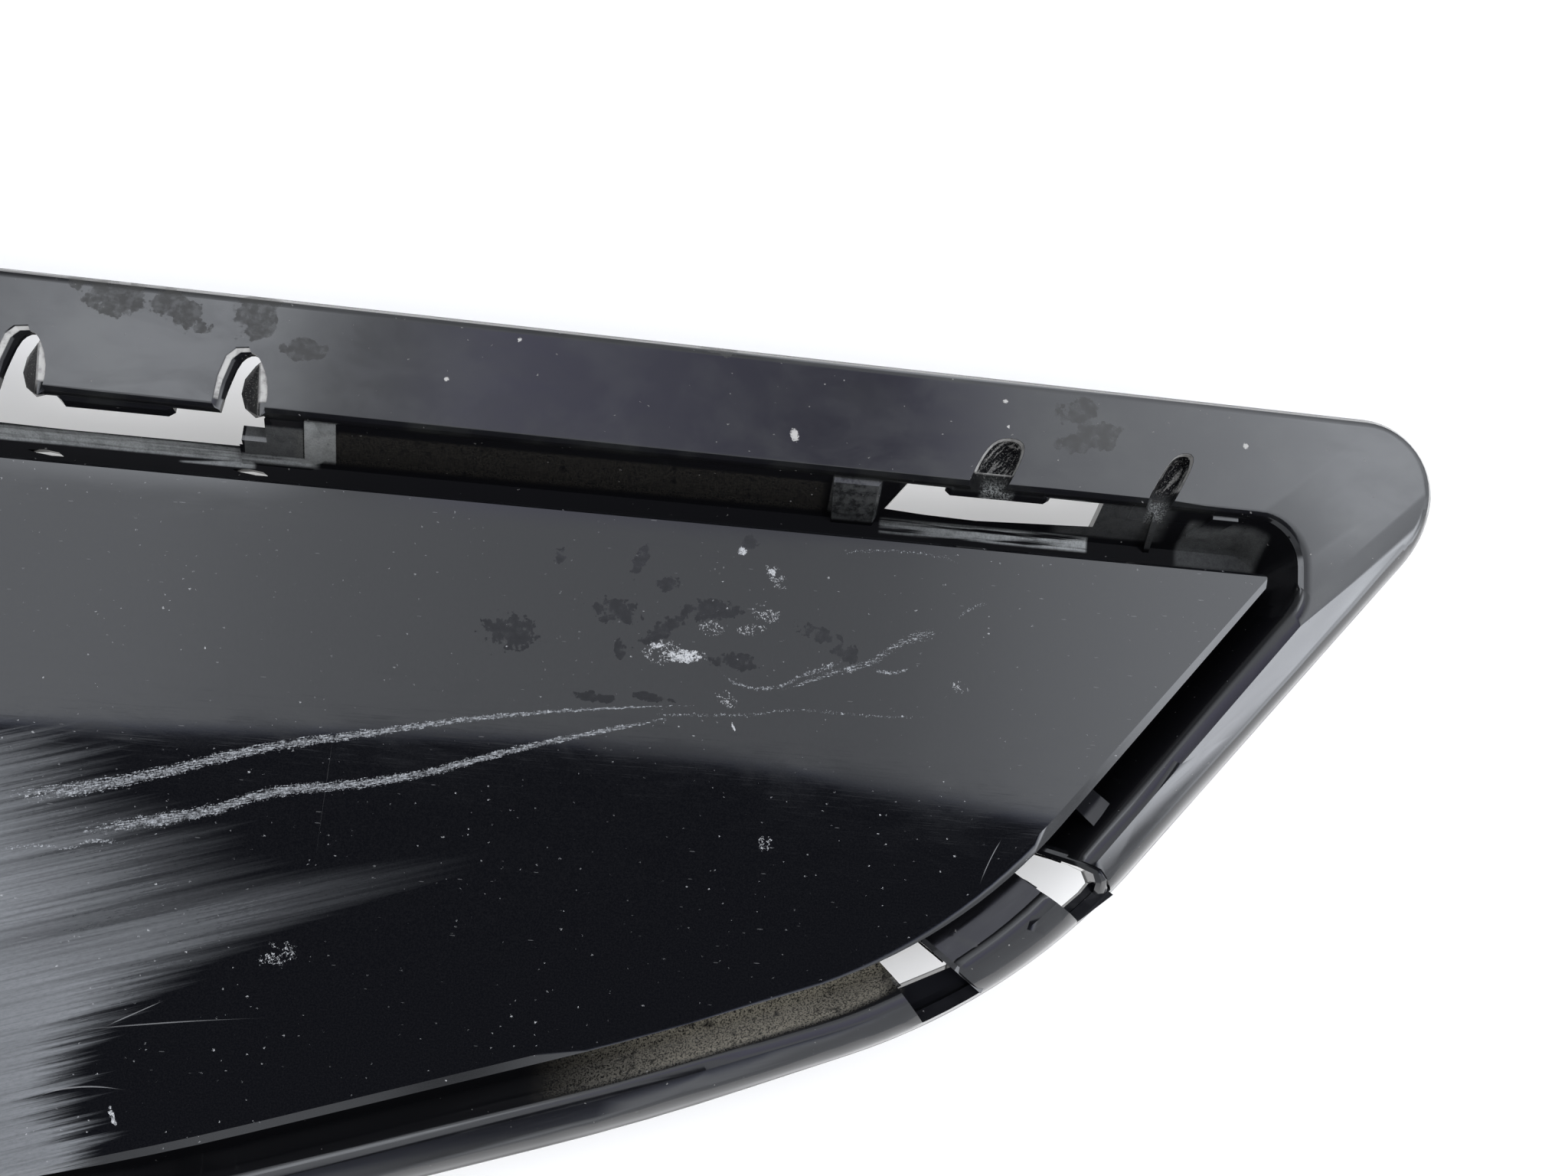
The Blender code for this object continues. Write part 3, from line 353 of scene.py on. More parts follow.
# Brightness of the overhead light by sideways travel: behind the edge, high up, and over the lower half.
AHEAD_LIGHT = [(-1.5, 0.35), (-1.0, 0.5), (-0.6, 1.5), (-0.3, 1.15), (-0.1, 1.0), (0.1, 1.0), (0.2, 1.25),
               (0.3, 1.65), (0.45, 2.1), (0.6, 2.4), (1.0, 2.0), (1.45, 1.2), (2.1, 0.35)]
HIGH_LIGHT = [(-1.0, 0.5), (-0.7, 2.0), (-0.46, 3.2), (-0.33, 1.05), (-0.24, 1.05), (-0.15, 0.87), (-0.07, 0.76),
              (0.02, 0.59), (0.11, 0.48), (0.2, 1.14), (0.29, 2.0), (0.42, 2.46), (0.51, 3.0), (0.6, 3.9),
              (0.8, 3.6), (1.1, 0.6)]
LOW_LIGHT = [(-0.6, 0.6), (-0.03, 0.7), (0.1, 0.4), (0.3, 0.9), (0.55, 1.5), (1.0, 0.9)]
# Soft windows: the way to each, half its width in degrees and its share of the window level.
SOFT_WINDOWS = (((1.66, -0.44, 1.0), 13.0, 2.0), ((2.6, 0.9, 1.0), 22.0, 0.35), ((-1.7, 0.25, 1.0), 8.0, 1.1),
                ((0.25, 1.6, 1.0), 8.0, 1.1), ((1.0, -0.25, 0.1), 12.0, 0.9))
WINDOW_BLUR = 5.0
OPEN_TINT, CARD_TINT, COOL_TINT = (0.95, 0.99, 1.06), (0.72, 0.82, 1.25), (0.9, 0.9, 1.22)
WHITE = (1.0, 1.0, 1.0)


def light_tone(u, v, studio):
    """Brightness of the soft light by direction; u and v are sideways travel for each unit of height."""
    offset = u + 0.1
    bow = offset * offset * -9.0
    edge = bow.math("EXPONENT") * 0.03 + u * -0.02
    above = (v - edge).ramp(-0.008, 0.008)
    far = v.ramp(-2.0, -1.2, 1.0, 0.0)
    aside = most(u.ramp(0.58, 0.85), u.ramp(-0.85, -1.5))
    open_light = most(above, far, aside)
    strip = v.between(0.275, 0.62, 0.04)
    tone = strip.fade(u.line(AHEAD_LIGHT), u.line(HIGH_LIGHT))
    tone = v.ramp(-0.9, -0.5, 1.0, 0.0).fade(tone, u.line(LOW_LIGHT))
    tone = tone * v.ramp(0.66, 1.2, 1.0, 0.6) * studio.sky_level
    cool = strip * u.between(-0.2, 0.14, 0.14)
    return open_light.fade(studio.card_level, tone), open_light, cool


def make_sky(studio):
    """World light: soft and even overhead, with a dark card over the lower half and low soft windows."""
    world = bpy.data.worlds.new("soft_studio_light")
    bpy.context.scene.world = world
    world.use_nodes = True
    nodes = Nodes(world.node_tree)
    coords = nodes.take("ShaderNodeTexCoord", output="Generated")
    x, y, z = coords.split()
    height = most(z, 0.02)
    u, v = (way / height for way in (x, y))
    tone, open_light, cool = light_tone(u, v, studio)
    for way, half_width, share in SOFT_WINDOWS:
        way = Vector(way).normalized()
        facing = nodes.take("ShaderNodeVectorMath", {0: coords, 1: way}, "Value", operation="DOT_PRODUCT")
        outer, inner = (math.cos(math.radians(half_width + blur)) for blur in (WINDOW_BLUR, -WINDOW_BLUR))
        tone = tone + facing.ramp(outer, inner) * (share * studio.window_level)
    tint = cool.blend(open_light.blend(CARD_TINT, OPEN_TINT), COOL_TINT)
    path = nodes.outputs("ShaderNodeLightPath")
    seen = most(path["Is Camera Ray"], path["Is Transmission Ray"])
    shade = world.node_tree.nodes["Background"]
    nodes.fill(shade, {"Color": seen.blend(tint, WHITE), "Strength": seen.fade(tone, 1.0)})


def make_lamp(studio):
    lamp = bpy.data.lights.new("low_soft_lamp", "SUN")
    lamp.angle = math.radians(40)
    lamp.energy = studio.lamp_power
    place = put("low_soft_lamp", lamp)
    place.rotation_euler = Vector((-0.1, -0.75, 1.0)).to_track_quat("Z", "Y").to_euler()
    place.visible_glossy = False


def make_camera(studio):
    lens = bpy.data.cameras.new("camera")
    lens.sensor_width = 36.0
    lens.lens = studio.lens
    lens.clip_start = 0.01
    camera = put("camera", lens)
    camera.location = studio.eye
    camera.rotation_euler = studio.gaze
    bpy.context.scene.camera = camera


class COVERPANEL_OT_stage(bpy.types.Operator):
    """Sets up the table top, the soft light and the camera"""
    bl_idname = "cover_panel.stage"
    bl_label = "Table, light and camera"

    def execute(self, context):
        studio = context.scene.panel_studio
        make_floor(studio)
        make_sky(studio)
        make_lamp(studio)
        make_camera(studio)
        context.scene.view_settings.view_transform = "Standard"
        return {"FINISHED"}


# ---------------------------------------------------------------- moulded edges

def edge_smoothing(angle):
    """Node tree that shades flat joins smooth and leaves real edges crisp."""
    tree = bpy.data.node_groups.new("edge_smoothing", "GeometryNodeTree")
    tree.interface.new_socket("Geometry", in_out="INPUT", socket_type="NodeSocketGeometry")
    tree.interface.new_socket("Geometry", in_out="OUTPUT", socket_type="NodeSocketGeometry")
    nodes = Nodes(tree)
    inputs = {"Geometry": nodes.take("NodeGroupInput"), "Shade Smooth": True}
    faces = nodes.take("GeometryNodeSetShadeSmooth", inputs, domain="FACE")
    bend = nodes.take("GeometryNodeInputMeshEdgeAngle")
    flat = nodes.take("FunctionNodeCompare", {0: bend, 1: angle}, data_type="FLOAT", operation="LESS_EQUAL")
    inputs = {"Geometry": faces, "Shade Smooth": flat}
    nodes.add("NodeGroupOutput", {0: nodes.take("GeometryNodeSetShadeSmooth", inputs, domain="EDGE")})
    return tree


# Points closer than this are one, and bends smaller or larger than these are flat or a real edge.
SAME_PLACE, FLAT_BEND, EDGE_BEND = 1e-6, math.radians(0.3), math.radians(32.0)


def dress(node, plastic, finish):
    """Rounds a moulding's edges, smooths its curved faces and gives it its finish, leaving its mesh alone."""
    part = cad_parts[node]
    part.material_slots[0].material = finish(plastic)
    part.modifiers.new("join_corners", "WELD").merge_threshold = SAME_PLACE
    flats = part.modifiers.new("clear_flats", "DECIMATE")
    flats.decimate_type = "DISSOLVE"
    flats.angle_limit = FLAT_BEND
    edges = part.modifiers.new("mould_radius", "BEVEL")
    edges.width = plastic.edge_round
    edges.segments = 2
    edges.limit_method = "ANGLE"
    edges.angle_limit = EDGE_BEND
    edges.use_clamp_overlap = True
    edges.miter_outer = "MITER_ARC"
    part.modifiers.new("smoothing", "NODES").node_group = edge_smoothing(plastic.facet_angle)
    even = part.modifiers.new("even_shading", "WEIGHTED_NORMAL")
    even.mode = "FACE_AREA_WITH_ANGLE"
    even.keep_sharp = True


# ---------------------------------------------------------------- panel

def crown(x, y):
    """Height of the panel's gentle crown in millimetres: nothing at its sides, levelling off inwards."""
    height = CROWN_HEIGHT
    for side_x, side_y, facing in CROWN_SIDES:
        inside, _ = turned(side_x - x, side_y - y, facing)
        gone = (most(inside, 0.0) * (-1.0 / CROWN_REACH)).math("EXPONENT")
        height = (1.0 - gone) * height
    return height


def scratch(x, y, grain, points, width, tail=2.0, bite=0.4):
    """Grainy scratch along a drawn line; width is half its breadth at its start and its end."""
    start, end = points[0][0], points[-1][0]
    off = y - x.line(points)
    half = x.ramp(start, end, width[0], width[1], smooth=False)
    far = off / half
    fade_in = x.ramp(start, start + tail, 0.16, 0.0)
    fade_out = x.ramp(end - tail, end, 0.0, 0.16)
    edge = far * far * 0.22 + fade_in + fade_out + bite
    body = (grain - edge).ramp(-0.02, 0.13)
    return body * x.between(start, end, 0.6)


# How far the rubbing reaches, and how softly it ends, by the distance across its streaks.
RUB_REACH = [(-78, -283), (-70, -271), (-62, -264), (-53, -268), (-47, -265), (-41, -259), (-34, -243),
             (-28, -214), (-24, -185), (-20.5, -200), (-17, -222), (-12, -230), (-6, -234), (1, -244),
             (9, -251), (17, -256), (24, -272), (32, -300)]
RUB_FALL = [(-78, 9), (-50, 12), (-42, 15), (-34, 28), (-28, 60), (-23, 105), (-17, 62), (-12, 52), (-3, 48),
            (6, 40), (32, 34)]
RUB_LEAN = 17.0


def rub_field(x, y):
    """Rubbed plastic at the left: dull streaks that run up to the right and end at different lengths."""
    along, across = turned(x, y, RUB_LEAN)
    streak = join(along * 0.016, across).noise(0.9, 4.0, 0.66)
    broad = join(along * 0.008, across * 0.3, 7.0).noise(1.0, 2.0)
    ends = across.line(RUB_REACH) + (streak - 0.5) * 34.0 + (broad - 0.5) * 16.0
    gone = (ends - along) / across.line(RUB_FALL)
    cover = gone.ramp(-0.02, 1.0, smooth=False).math("POWER", 1.5) * x.ramp(-352, -318)
    lines = streak.ramp(0.34, 0.58, 0.7, 1.0)
    bands = broad.ramp(0.32, 0.6, 0.86, 1.0)
    hairs = join(along * 0.3, across).noise(2.4, 3.0, 0.7)
    return cover * lines * bands * hairs.ramp(0.3, 0.6, 0.8, 1.0)


# Scratches: grain, half breadth at start and end, length of the faded ends, bite, places on the line.
SCRATCHES = (
    ("fibre", (1.75, 0.1), 14.0, 0.38, [(-266, -71), (-258, -70), (-239, -65), (-218, -58), (-197, -53),
                                        (-175, -48), (-152, -44), (-128, -41)]),
    ("fibre", (1.6, 0.5), 14.0, 0.37, [(-250, -77), (-238, -74.5), (-225, -71), (-215, -67), (-190, -62),
                                       (-163, -53), (-150, -49), (-134, -44.5)]),
    ("fine", (0.6, 0.4), 8.0, 0.52, [(-140, -44), (-127, -43), (-116, -42), (-105, -40), (-90, -40), (-75, -39)]),
    ("fine", (0.35, 1.0), 3.0, 0.47, [(-123, -33), (-119, -35.5), (-113, -36), (-104, -32), (-96, -28.5)]),
    ("fibre", (0.5, 1.9), 4.0, 0.5, [(-109, -36), (-100, -32), (-90, -28), (-83, -23), (-75, -20)]),
    ("fine", (0.6, 0.5), 1.5, 0.45, [(-90, -29), (-87, -30.2), (-81, -28.5)]),
    ("fine", (0.9, 0.7), 2.0, 0.52, [(-72, -18), (-69, -14.5), (-64, -12.5)]),
    ("fine", (0.55, 0.6), 4.0, 0.53, [(-100, -5), (-91, -3), (-84, -2.6), (-77, -3), (-71, -4.5)]),
    ("fine", (0.5, 0.5), 3.0, 0.44, [(-266, -82.5), (-259, -81), (-253, -81), (-249, -79.5), (-242, -79)]),
)
# Hairlines: strength, half breadth at start and end, length of the faded ends, places on the line.
HAIRLINES = (
    (0.55, (0.3, 0.1), 30.0, [(-252, -117.5), (-230, -114), (-214, -112), (-204, -111)]),
    (0.55, (0.3, 0.12), 8.0, [(-252, -131), (-243, -127), (-232, -127)]),
    (0.55, (0.2, 0.12), 4.0, [(-240, -115.5), (-228, -109)]),
    (0.52, (0.5, 0.3), 2.0, [(-64, -76), (-62, -70), (-58.5, -63)]),
)
# Blots on the panel: centre, half length, half height and lean in degrees.
CHIPS = ((-131, -30.5, 4.2, 1.5, 4), (-137, -28.6, 1.6, 0.6, 0), (-113.4, -10, 0.7, 1.0, 40),
         (-119, -45, 0.3, 1.1, 25), (-235, -132, 0.5, 2.0, 28), (-120.4, -6, 1.0, 1.1, 30))
CURLS = ((-114, -19.6, 3.4, 1.9, -14), (-125.5, -23.8, 3.4, 1.8, 5), (-117, -23.4, 3.4, 1.4, 12),
         (-136, -30, 4.4, 2.8, 10), (-112.5, -11, 1.8, 3.4, 40), (-208, -99, 3.8, 2.6, 10),
         (-261, -71.5, 2.8, 1.1, 6), (-110, -69, 1.8, 1.8, 20), (-70, -32, 2.2, 1.2, -20),
         (-121, -39, 3.0, 1.6, -30))
RESIDUE = ((-169, -28.5, 6.6, 4.2, 0), (-147, -22, 5.4, 3.0, -6), (-136, -25, 6.4, 2.0, 34),
           (-126, -19.8, 7.0, 2.4, 4), (-120, -30.6, 5.2, 1.9, 0), (-102, -23, 6.0, 1.6, -12),
           (-96, -26.5, 3.4, 2.2, -25), (-145, -30.5, 1.3, 2.6, 10), (-160, -11, 1.7, 1.8, 0),
           (-142.6, -10, 1.7, 4.4, -18), (-136, -15, 3.2, 1.8, 0), (-119, -4, 1.9, 2.2, 30),
           (-149, -41, 5.0, 1.1, 0), (-137, -40, 5.0, 1.0, 0))
POLISH_HAZE = (0.0055, 0.0055, 0.0062)
SCRATCH_SHADE = (0.075, 0.077, 0.08)
FLECK_COLOUR = (0.5, 0.5, 0.5)


def panel_wear(x, y, place, fine):
    """Masks of the panel's marks: torn plastic, its bright grain, fine scoring, residue and rubbing."""
    warp = (place.noise(0.5, 3.0, 0.7) - 0.5) * 0.9
    wavy = y + warp
    along, across = turned(x, y, 13.0)
    hairy = join(along * 0.3, across * 2.8).noise(1.5, 4.0, 0.75)
    fibre = fine * 0.65 + hairy - 0.33
    grains = {"fine": fine, "fibre": fibre}
    marks = ([scratch(x, wavy, grains[grain], points, width, tail, bite)
            for grain, width, tail, bite, points in SCRATCHES])
    hairs = [scratch(x, y, strength, points, width, tail) for strength, width, tail, points in HAIRLINES]

    ragged = place.noise(0.95, 5.0, 0.75) - 0.53
    chips = patches(x, y, ragged * 6.0, CHIPS)
    curls = patches(x, y, ragged * 3.0, CURLS)
    wander = (place.noise(0.34, 4.0, 0.72) - 0.5).math("ABSOLUTE")
    curls = curls * wander.ramp(0.01, 0.028, 1.0, 0.0) * fine.ramp(0.42, 0.58) * 0.8
    chips = most(chips, curls)

    stir = join(x + fine * 1.6, y + hairy * 1.1)
    loose = join(x + hairy * 1.3, y * 1.6 + fine * 1.8)
    swarm = place.noise(0.035, 2.0, 0.5).ramp(0.44, 0.62, 0.22, 1.0)
    grit = specks(stir, 0.6, 0.02, 0.12, 0.5) * swarm
    dust = specks(loose, 0.42, 0.014, 0.075, 0.85) * swarm
    dashes = specks(join(x * 0.16, y * 1.1), 0.8, 0.03, 0.1, 0.45)
    flakes = chips * fine.ramp(0.38, 0.56)
    scored = most(most(*hairs) * 0.22, grit * 0.62, dust * 0.6, dashes * 0.1, flakes * 0.75)

    lobes = (place.noise(0.42, 4.0, 0.62) - 0.53) * 5.5
    stains = patches(x, y, lobes, RESIDUE) * lobes.ramp(-1.2, 0.9, 0.35, 1.0) * 0.9
    return most(chips, *marks), fibre.ramp(0.46, 0.72), scored, stains, rub_field(x, y)


def panel_finish(plastic):
    """High-gloss black with the scratches, scuffs, residue and dust of a used part."""
    material, nodes, surface = new_material("gloss_black_used")
    x, y, z, place = part_place(nodes)
    fine = place.noise(2.6, 3.0, 0.72)
    torn, bright, scored, stains, rub = panel_wear(x, y, place, fine)
    torn, scored, stains = (mask * plastic.wear for mask in (torn, scored, stains))

    film = fine.ramp(0.35, 0.68).blend(plastic.panel_colour, POLISH_HAZE)
    colour = (rub * (0.95 * plastic.wear)).blend(film, plastic.haze_colour)
    colour = torn.blend(colour, bright.blend(SCRATCH_SHADE, plastic.wear_colour))
    colour = scored.blend(colour, FLECK_COLOUR)

    wiped = join(x * 0.02, y * 0.05, z).noise(1.6, 4.0, 0.6, 1.2)
    brushed = join(x * 0.06, y * 2.6, z).noise(1.5, 3.0, 0.7)
    rough = wiped.ramp(0.3, 0.7, 0.03, 0.08) + brushed.ramp(0.5, 0.72, 0.0, 0.06)
    rough = stains.fade(rough, 0.5)
    rough = rub.ramp(0.0, 0.55).fade(rough, 0.46)
    rough = most(torn, scored).ramp(0.0, 0.3).fade(rough, 0.72)

    # The face is shaded as level and takes its slope from the crown alone, so flat joins don't show.
    nx, ny, nz = nodes.take("ShaderNodeNewGeometry", output="Normal").split()
    top = nz.ramp(0.99, 0.998)
    side = 1.0 - top
    level = join(nx * side, ny * side, most(nz, top))
    crowned = relief(crown(x, y), 1.0, MM, Normal=level)
    nodes.fill(surface, {
        "Base Color": colour, "Roughness": rough, "Specular IOR Level": stains.fade(0.5, 0.3), "IOR": 1.6,
        "Normal": relief(fine, 0.004 + torn * 0.6, 0.0001, Normal=crowned)})
    return material


class COVERPANEL_OT_gloss_panel(bpy.types.Operator):
    """Rounds the gloss panel's edges and gives it its worn high-gloss finish"""
    bl_idname = "cover_panel.gloss_panel"
    bl_label = "Gloss panel"

    def execute(self, context):
        dress("gloss_panel", context.scene.panel_plastic, panel_finish)
        return {"FINISHED"}


# ---------------------------------------------------------------- tray

# Blots on the tray's face: centre, half length, half height and lean in degrees.
FACE_STAINS = ((-266, 40, 11, 5.0, -14), (-251, 37, 8, 4.0, -30), (-234, 38, 5.5, 7.0, 0), (-46, 34, 5.0, 4.6, 20),
               (-43, 28, 9, 3.4, 18), (-222, 31, 5, 3.0, 0), (-130, 41, 5, 2.4, -8))
FACE_CHIPS = ((-268, 45, 3.0, 0.8, -4), (-258, 44, 2.0, 0.7, -4), (-111, 22, 1.0, 1.6, 15), (-63, 35, 0.6, 0.5, 0),
              (-6, 30, 0.7, 0.7, 0), (-175, 38, 0.5, 0.5, 0), (-62, 29, 0.4, 0.4, 30), (-190, 27, 0.6, 0.5, 0))
# Relief slots beside the snap tongues, and what is seen inside them: first and last x, y, and soft edge.
SLOT_AREAS = ((-73, -53, 18, 32, 0.8), (-31, -13, 18, 32, 0.8), (-242, -227, 18, 32, 0.8),
              (-290, -274, 18, 32, 0.8))
INSIDE_AREAS = ((-73, -53, 12, 32, 1.0), (-31, -13, 12, 32, 1.0), (-235.5, -228, 12, 30, 0.6),
                (-282.5, -276, 12, 30, 0.6))
SMOKE_COLOUR = (0.013, 0.0135, 0.0125)
STAIN_COLOUR = (0.017, 0.016, 0.013)
# Colour of the dried film, also used for the painted reflections below the openings.
CHALK_AND_SHEEN_COLOUR = (0.4, 0.41, 0.4)
# Colour of the pale specks and chips, also used for the painted highlight on the slot rims.
CHIP_AND_HIGHLIGHT_COLOUR = (0.36, 0.35, 0.33)
REAR_DARK, REAR_LIGHT = (0.012, 0.012, 0.013), (0.022, 0.022, 0.023)
PIN_PITCH = 46.0


def area(x, y, x0, x1, y0, y1, soft):
    """One inside a rectangle of the plan, fading over the soft distance outside it."""
    return x.between(x0, x1, soft) * y.between(y0, y1, soft)


def areas(x, y, rectangles):
    return most(*(area(x, y, *rectangle) for rectangle in rectangles))


def channel_dirt(x, y, z, fine, blotch):
    """Road dust in the tray's channels: where it lies, and where it has stuck."""
    outward, _ = turned(x + 67.1, y + 87.0, -70.4)
    spout = (area(x, y, -150, -84, -127, -90, 8.0) * z.ramp(-6.6, -8.4) * x.ramp(-162, -112)
            * outward.ramp(9.0, 7.6))
    wall = area(x, y, -222, -104, 5, 22, 3.0) * z.between(-12.5, -5.0, 1.0)
    settled = most(spout, wall * 0.07)
    return settled, settled * fine.ramp(0.37, 0.57) * blotch.ramp(0.26, 0.46)


def channel_chalk_and_reflection(x, y, z, fine, blotch, deep):
    """Pale dried film on the channel's floor, walls and bridges, and painted reflections of the table as pale
    bands on the floor and low wall below the openings.
    """
    low_wall = z.between(-13.9, -12.0, 1.2) * y.ramp(6.7, 7.5)
    below = z.ramp(-3.0, -1.5, 1.0, 0.0)
    upright = below * z.ramp(-13.4, -12.4) * y.ramp(3.0, 5.0)
    lean = x + z * -0.21 - 1.9
    sheen_streaks = join(x * 0.05, y, z * 1.6).noise(0.7, 3.0, 0.6)
    slant = x.ramp(-252, -234, 6.2, 7.5) - y
    feet = (areas(x, y, ((-66, -61, 11, 15, 2.0), (-27, -24, 12, 15, 1.5))) * z.ramp(-0.6, -2.2)
            * fine.ramp(0.42, 0.58))
    # The first two places are a painted reflection of the table on the low wall and floor below the left-hand
    # opening.
    places = ((0.85, x.between(-310, -222, 3.0), low_wall, sheen_streaks.ramp(0.3, 0.62, 0.35, 1.0)),
              (0.6, x.between(-250, -235, 1.5), slant.ramp(0.0, 0.5), y.ramp(5.4, 5.9), deep),
              # Painted reflection of the table on the floor below the opening nearer the corner.
              (1.0, area(x, y, -88, -39, 5.0, 7.4, 0.9), deep, x.ramp(-90, -44, 0.3, 1.0),
               sheen_streaks.ramp(0.38, 0.56)),
              # The rest are dried film on the blocks and walls.
              (0.13, lean.between(-235.0, -222.2, 0.3), upright, z.ramp(-3.5, -4.5)),
              (0.5, lean.between(-221.6, -215.0, 0.3), upright),
              (0.13, x.between(-101.0, -90.0, 0.4), upright, blotch.ramp(0.35, 0.6, 0.3, 1.0)),
              (0.15, area(x, y, -16.0, 1.5, 4.0, 12.5, 1.6), z.ramp(-4.0, -7.0)),
              (0.09, area(x, y, -45.0, -24.0, 5.0, 15.0, 4.0), upright),
              (0.36, feet))
    chalk_and_sheen = most(*(math.prod(masks, start=strength) for strength, *masks in places))
    return chalk_and_sheen * fine.ramp(0.3, 0.6, 0.7, 1.0) * blotch.ramp(0.3, 0.6, 0.7, 1.0)


def slot_marks_and_rim_highlight(x, y, z, fine, blotch, inside, groove, slots):
    """Pale crumbs and streaks in the relief slots, and a painted highlight along their rims."""
    crumbs = inside * fine.ramp(0.57, 0.65) * y.ramp(16.0, 18.0) * 0.5
    along, across = turned(x, y, 52.0)
    grain = join(along * 0.16, across * 0.9, z).noise(1.0, 3.0, 0.6)
    streaks = groove * x.ramp(-100, -90) * grain.ramp(0.52, 0.62) * fine.ramp(0.3, 0.6) * 0.5
    # Painted highlight: a thin pale band just under each slot's top edge, standing in for the glint on its rounded
    # rim.
    above_groove = z - x.ramp(-200, -100, -0.62, -1.3)
    painted_rim_highlight = (above_groove.ramp(-0.12, 0.0) * z.ramp(-0.22, -0.1, 1.0, 0.0) * slots
            * blotch.ramp(0.3, 0.55, 0.45, 1.0) * x.ramp(-200, -100, 1.0, 0.7))
    return most(crumbs, streaks, painted_rim_highlight)


def ejector_rings(x, y):
    """Round witness marks of the ejector pins, one to each square of the rear."""
    off_x, off_y = ((way * (1 / PIN_PITCH)).math("FRACT") - 0.5 for way in (x, y))
    off = (off_x * off_x + off_y * off_y).math("SQRT")
    return (off - 0.065).math("ABSOLUTE").ramp(0.005, 0.001)


def tray_finish(plastic):
    """Black moulded tray: polished in front, road dust in its channels, dull and textured behind, with painted
    reflections below the openings and a painted highlight on the slot rims.
    """
    material, nodes, surface = new_material("black_tray_used")
    x, y, z, place = part_place(nodes)
    facing = nodes.take("ShaderNodeNewGeometry", output="Normal").split()[2]
    blotch = place.noise(0.42, 4.0, 0.65)
    fine = place.noise(2.6, 4.0, 0.7)
    behind = facing.ramp(-0.15, -0.35) * z.ramp(-0.5, -1.5)
    face = z.ramp(-3.0, -1.5)
    deep = z.ramp(-11.0, -13.0)
    below_face = z.ramp(-0.9, -1.1)
    slots = areas(x, y, SLOT_AREAS)
    groove = below_face * slots
    inside = areas(x, y, INSIDE_AREAS) * z.ramp(-0.8, -1.1)

    lobes = (place.noise(0.22, 4.0, 0.55) - 0.52) * 4.0
    stains = patches(x, y, lobes, FACE_STAINS) * face * blotch.ramp(0.36, 0.6, 0.45, 1.0) * (0.7 * plastic.wear)
    chips = patches(x, y, (fine - 0.52) * 4.0, FACE_CHIPS) * face
    smoke = place.noise(0.055, 5.0, 0.62).ramp(0.44, 0.66) * face * fine.ramp(0.3, 0.7, 0.5, 1.0)
    settled, dirt = channel_dirt(x, y, z, fine, blotch)
    dirt = dirt * plastic.wear
    # Dried film, with painted reflections below the openings.
    chalk_and_sheen = channel_chalk_and_reflection(x, y, z, fine, blotch, deep) * plastic.wear
    stir = join(x + fine * 1.6, y + blotch * 2.0, z)
    grit = specks(stir, 0.55, 0.03, 0.11, 0.35)
    dust = specks(place, 0.2, 0.015, 0.05, 0.6)
    # Crumbs and streaks in the slots and a painted highlight along their rims, joined below with the pale specks
    # and chips.
    worn = slot_marks_and_rim_highlight(x, y, z, fine, blotch, inside, groove, slots)
    pale = most(grit * 0.35, dust * 0.5, chips, worn) * plastic.wear

    colour = smoke.blend(plastic.tray_colour, SMOKE_COLOUR)
    colour = stains.blend(colour, STAIN_COLOUR)
    colour = chalk_and_sheen.blend(colour, CHALK_AND_SHEEN_COLOUR)
    colour = dirt.blend(colour, plastic.dust_colour)
    colour = behind.blend(colour, blotch.blend(REAR_DARK, REAR_LIGHT))
    colour = pale.blend(colour, CHIP_AND_HIGHLIGHT_COLOUR)

    wiped = join(x * 0.03, y * 0.06, z).noise(1.4, 5.0, 0.65, 0.8)
    rough = wiped.ramp(0.32, 0.68, 0.09, 0.19)
    # Rough where dust lies, on the dried film and on the painted reflections.
    dusty = most(settled * 0.6, chalk_and_sheen, dirt.ramp(0.0, 0.4))
    pins = ejector_rings(x, y) * behind
    for mask, roughness in ((stains, 0.5), (dusty, 0.7), (behind, 0.52), (inside, 0.34),
                            (pale.ramp(0.0, 0.3), 0.75), (pins, 0.25)):
        rough = mask.fade(rough, roughness)
    gloss = ((deep * (1.0 - behind)).fade(0.5, 0.02) * most(inside, groove).ramp(0.0, 1.0, 1.0, 0.03)
             * stains.ramp(0.0, 1.0, 1.0, 0.75))
    nodes.fill(surface, {
        "Base Color": colour, "Roughness": rough, "Specular IOR Level": gloss, "IOR": 1.58,
        "Normal": relief(fine, 0.006 + behind * 0.5 + dirt * 0.6, 0.00014)})
    return material


class COVERPANEL_OT_tray(bpy.types.Operator):
    """Rounds the carrier tray's edges and gives it its moulded finish"""
    bl_idname = "cover_panel.tray"
    bl_label = "Carrier tray"

    def execute(self, context):
        dress("carrier_tray", context.scene.panel_plastic, tray_finish)
        return {"FINISHED"}


# ---------------------------------------------------------------- fixings

ZINC_DULL, ZINC_BLOOM = (0.47, 0.46, 0.43), (0.5, 0.47, 0.4)
SPRING_DARK, SPRING_BRIGHT = (0.13, 0.125, 0.12), (0.48, 0.47, 0.45)
FOAM_SKIN, FOAM_DUST = (0.055, 0.055, 0.055), (0.12, 0.11, 0.1)
SHARP_ANGLE = math.radians(38.0)
SCREW_SIDES, SEAL_SIDES, SEAL_SQUARENESS = 36, 20, 0.42


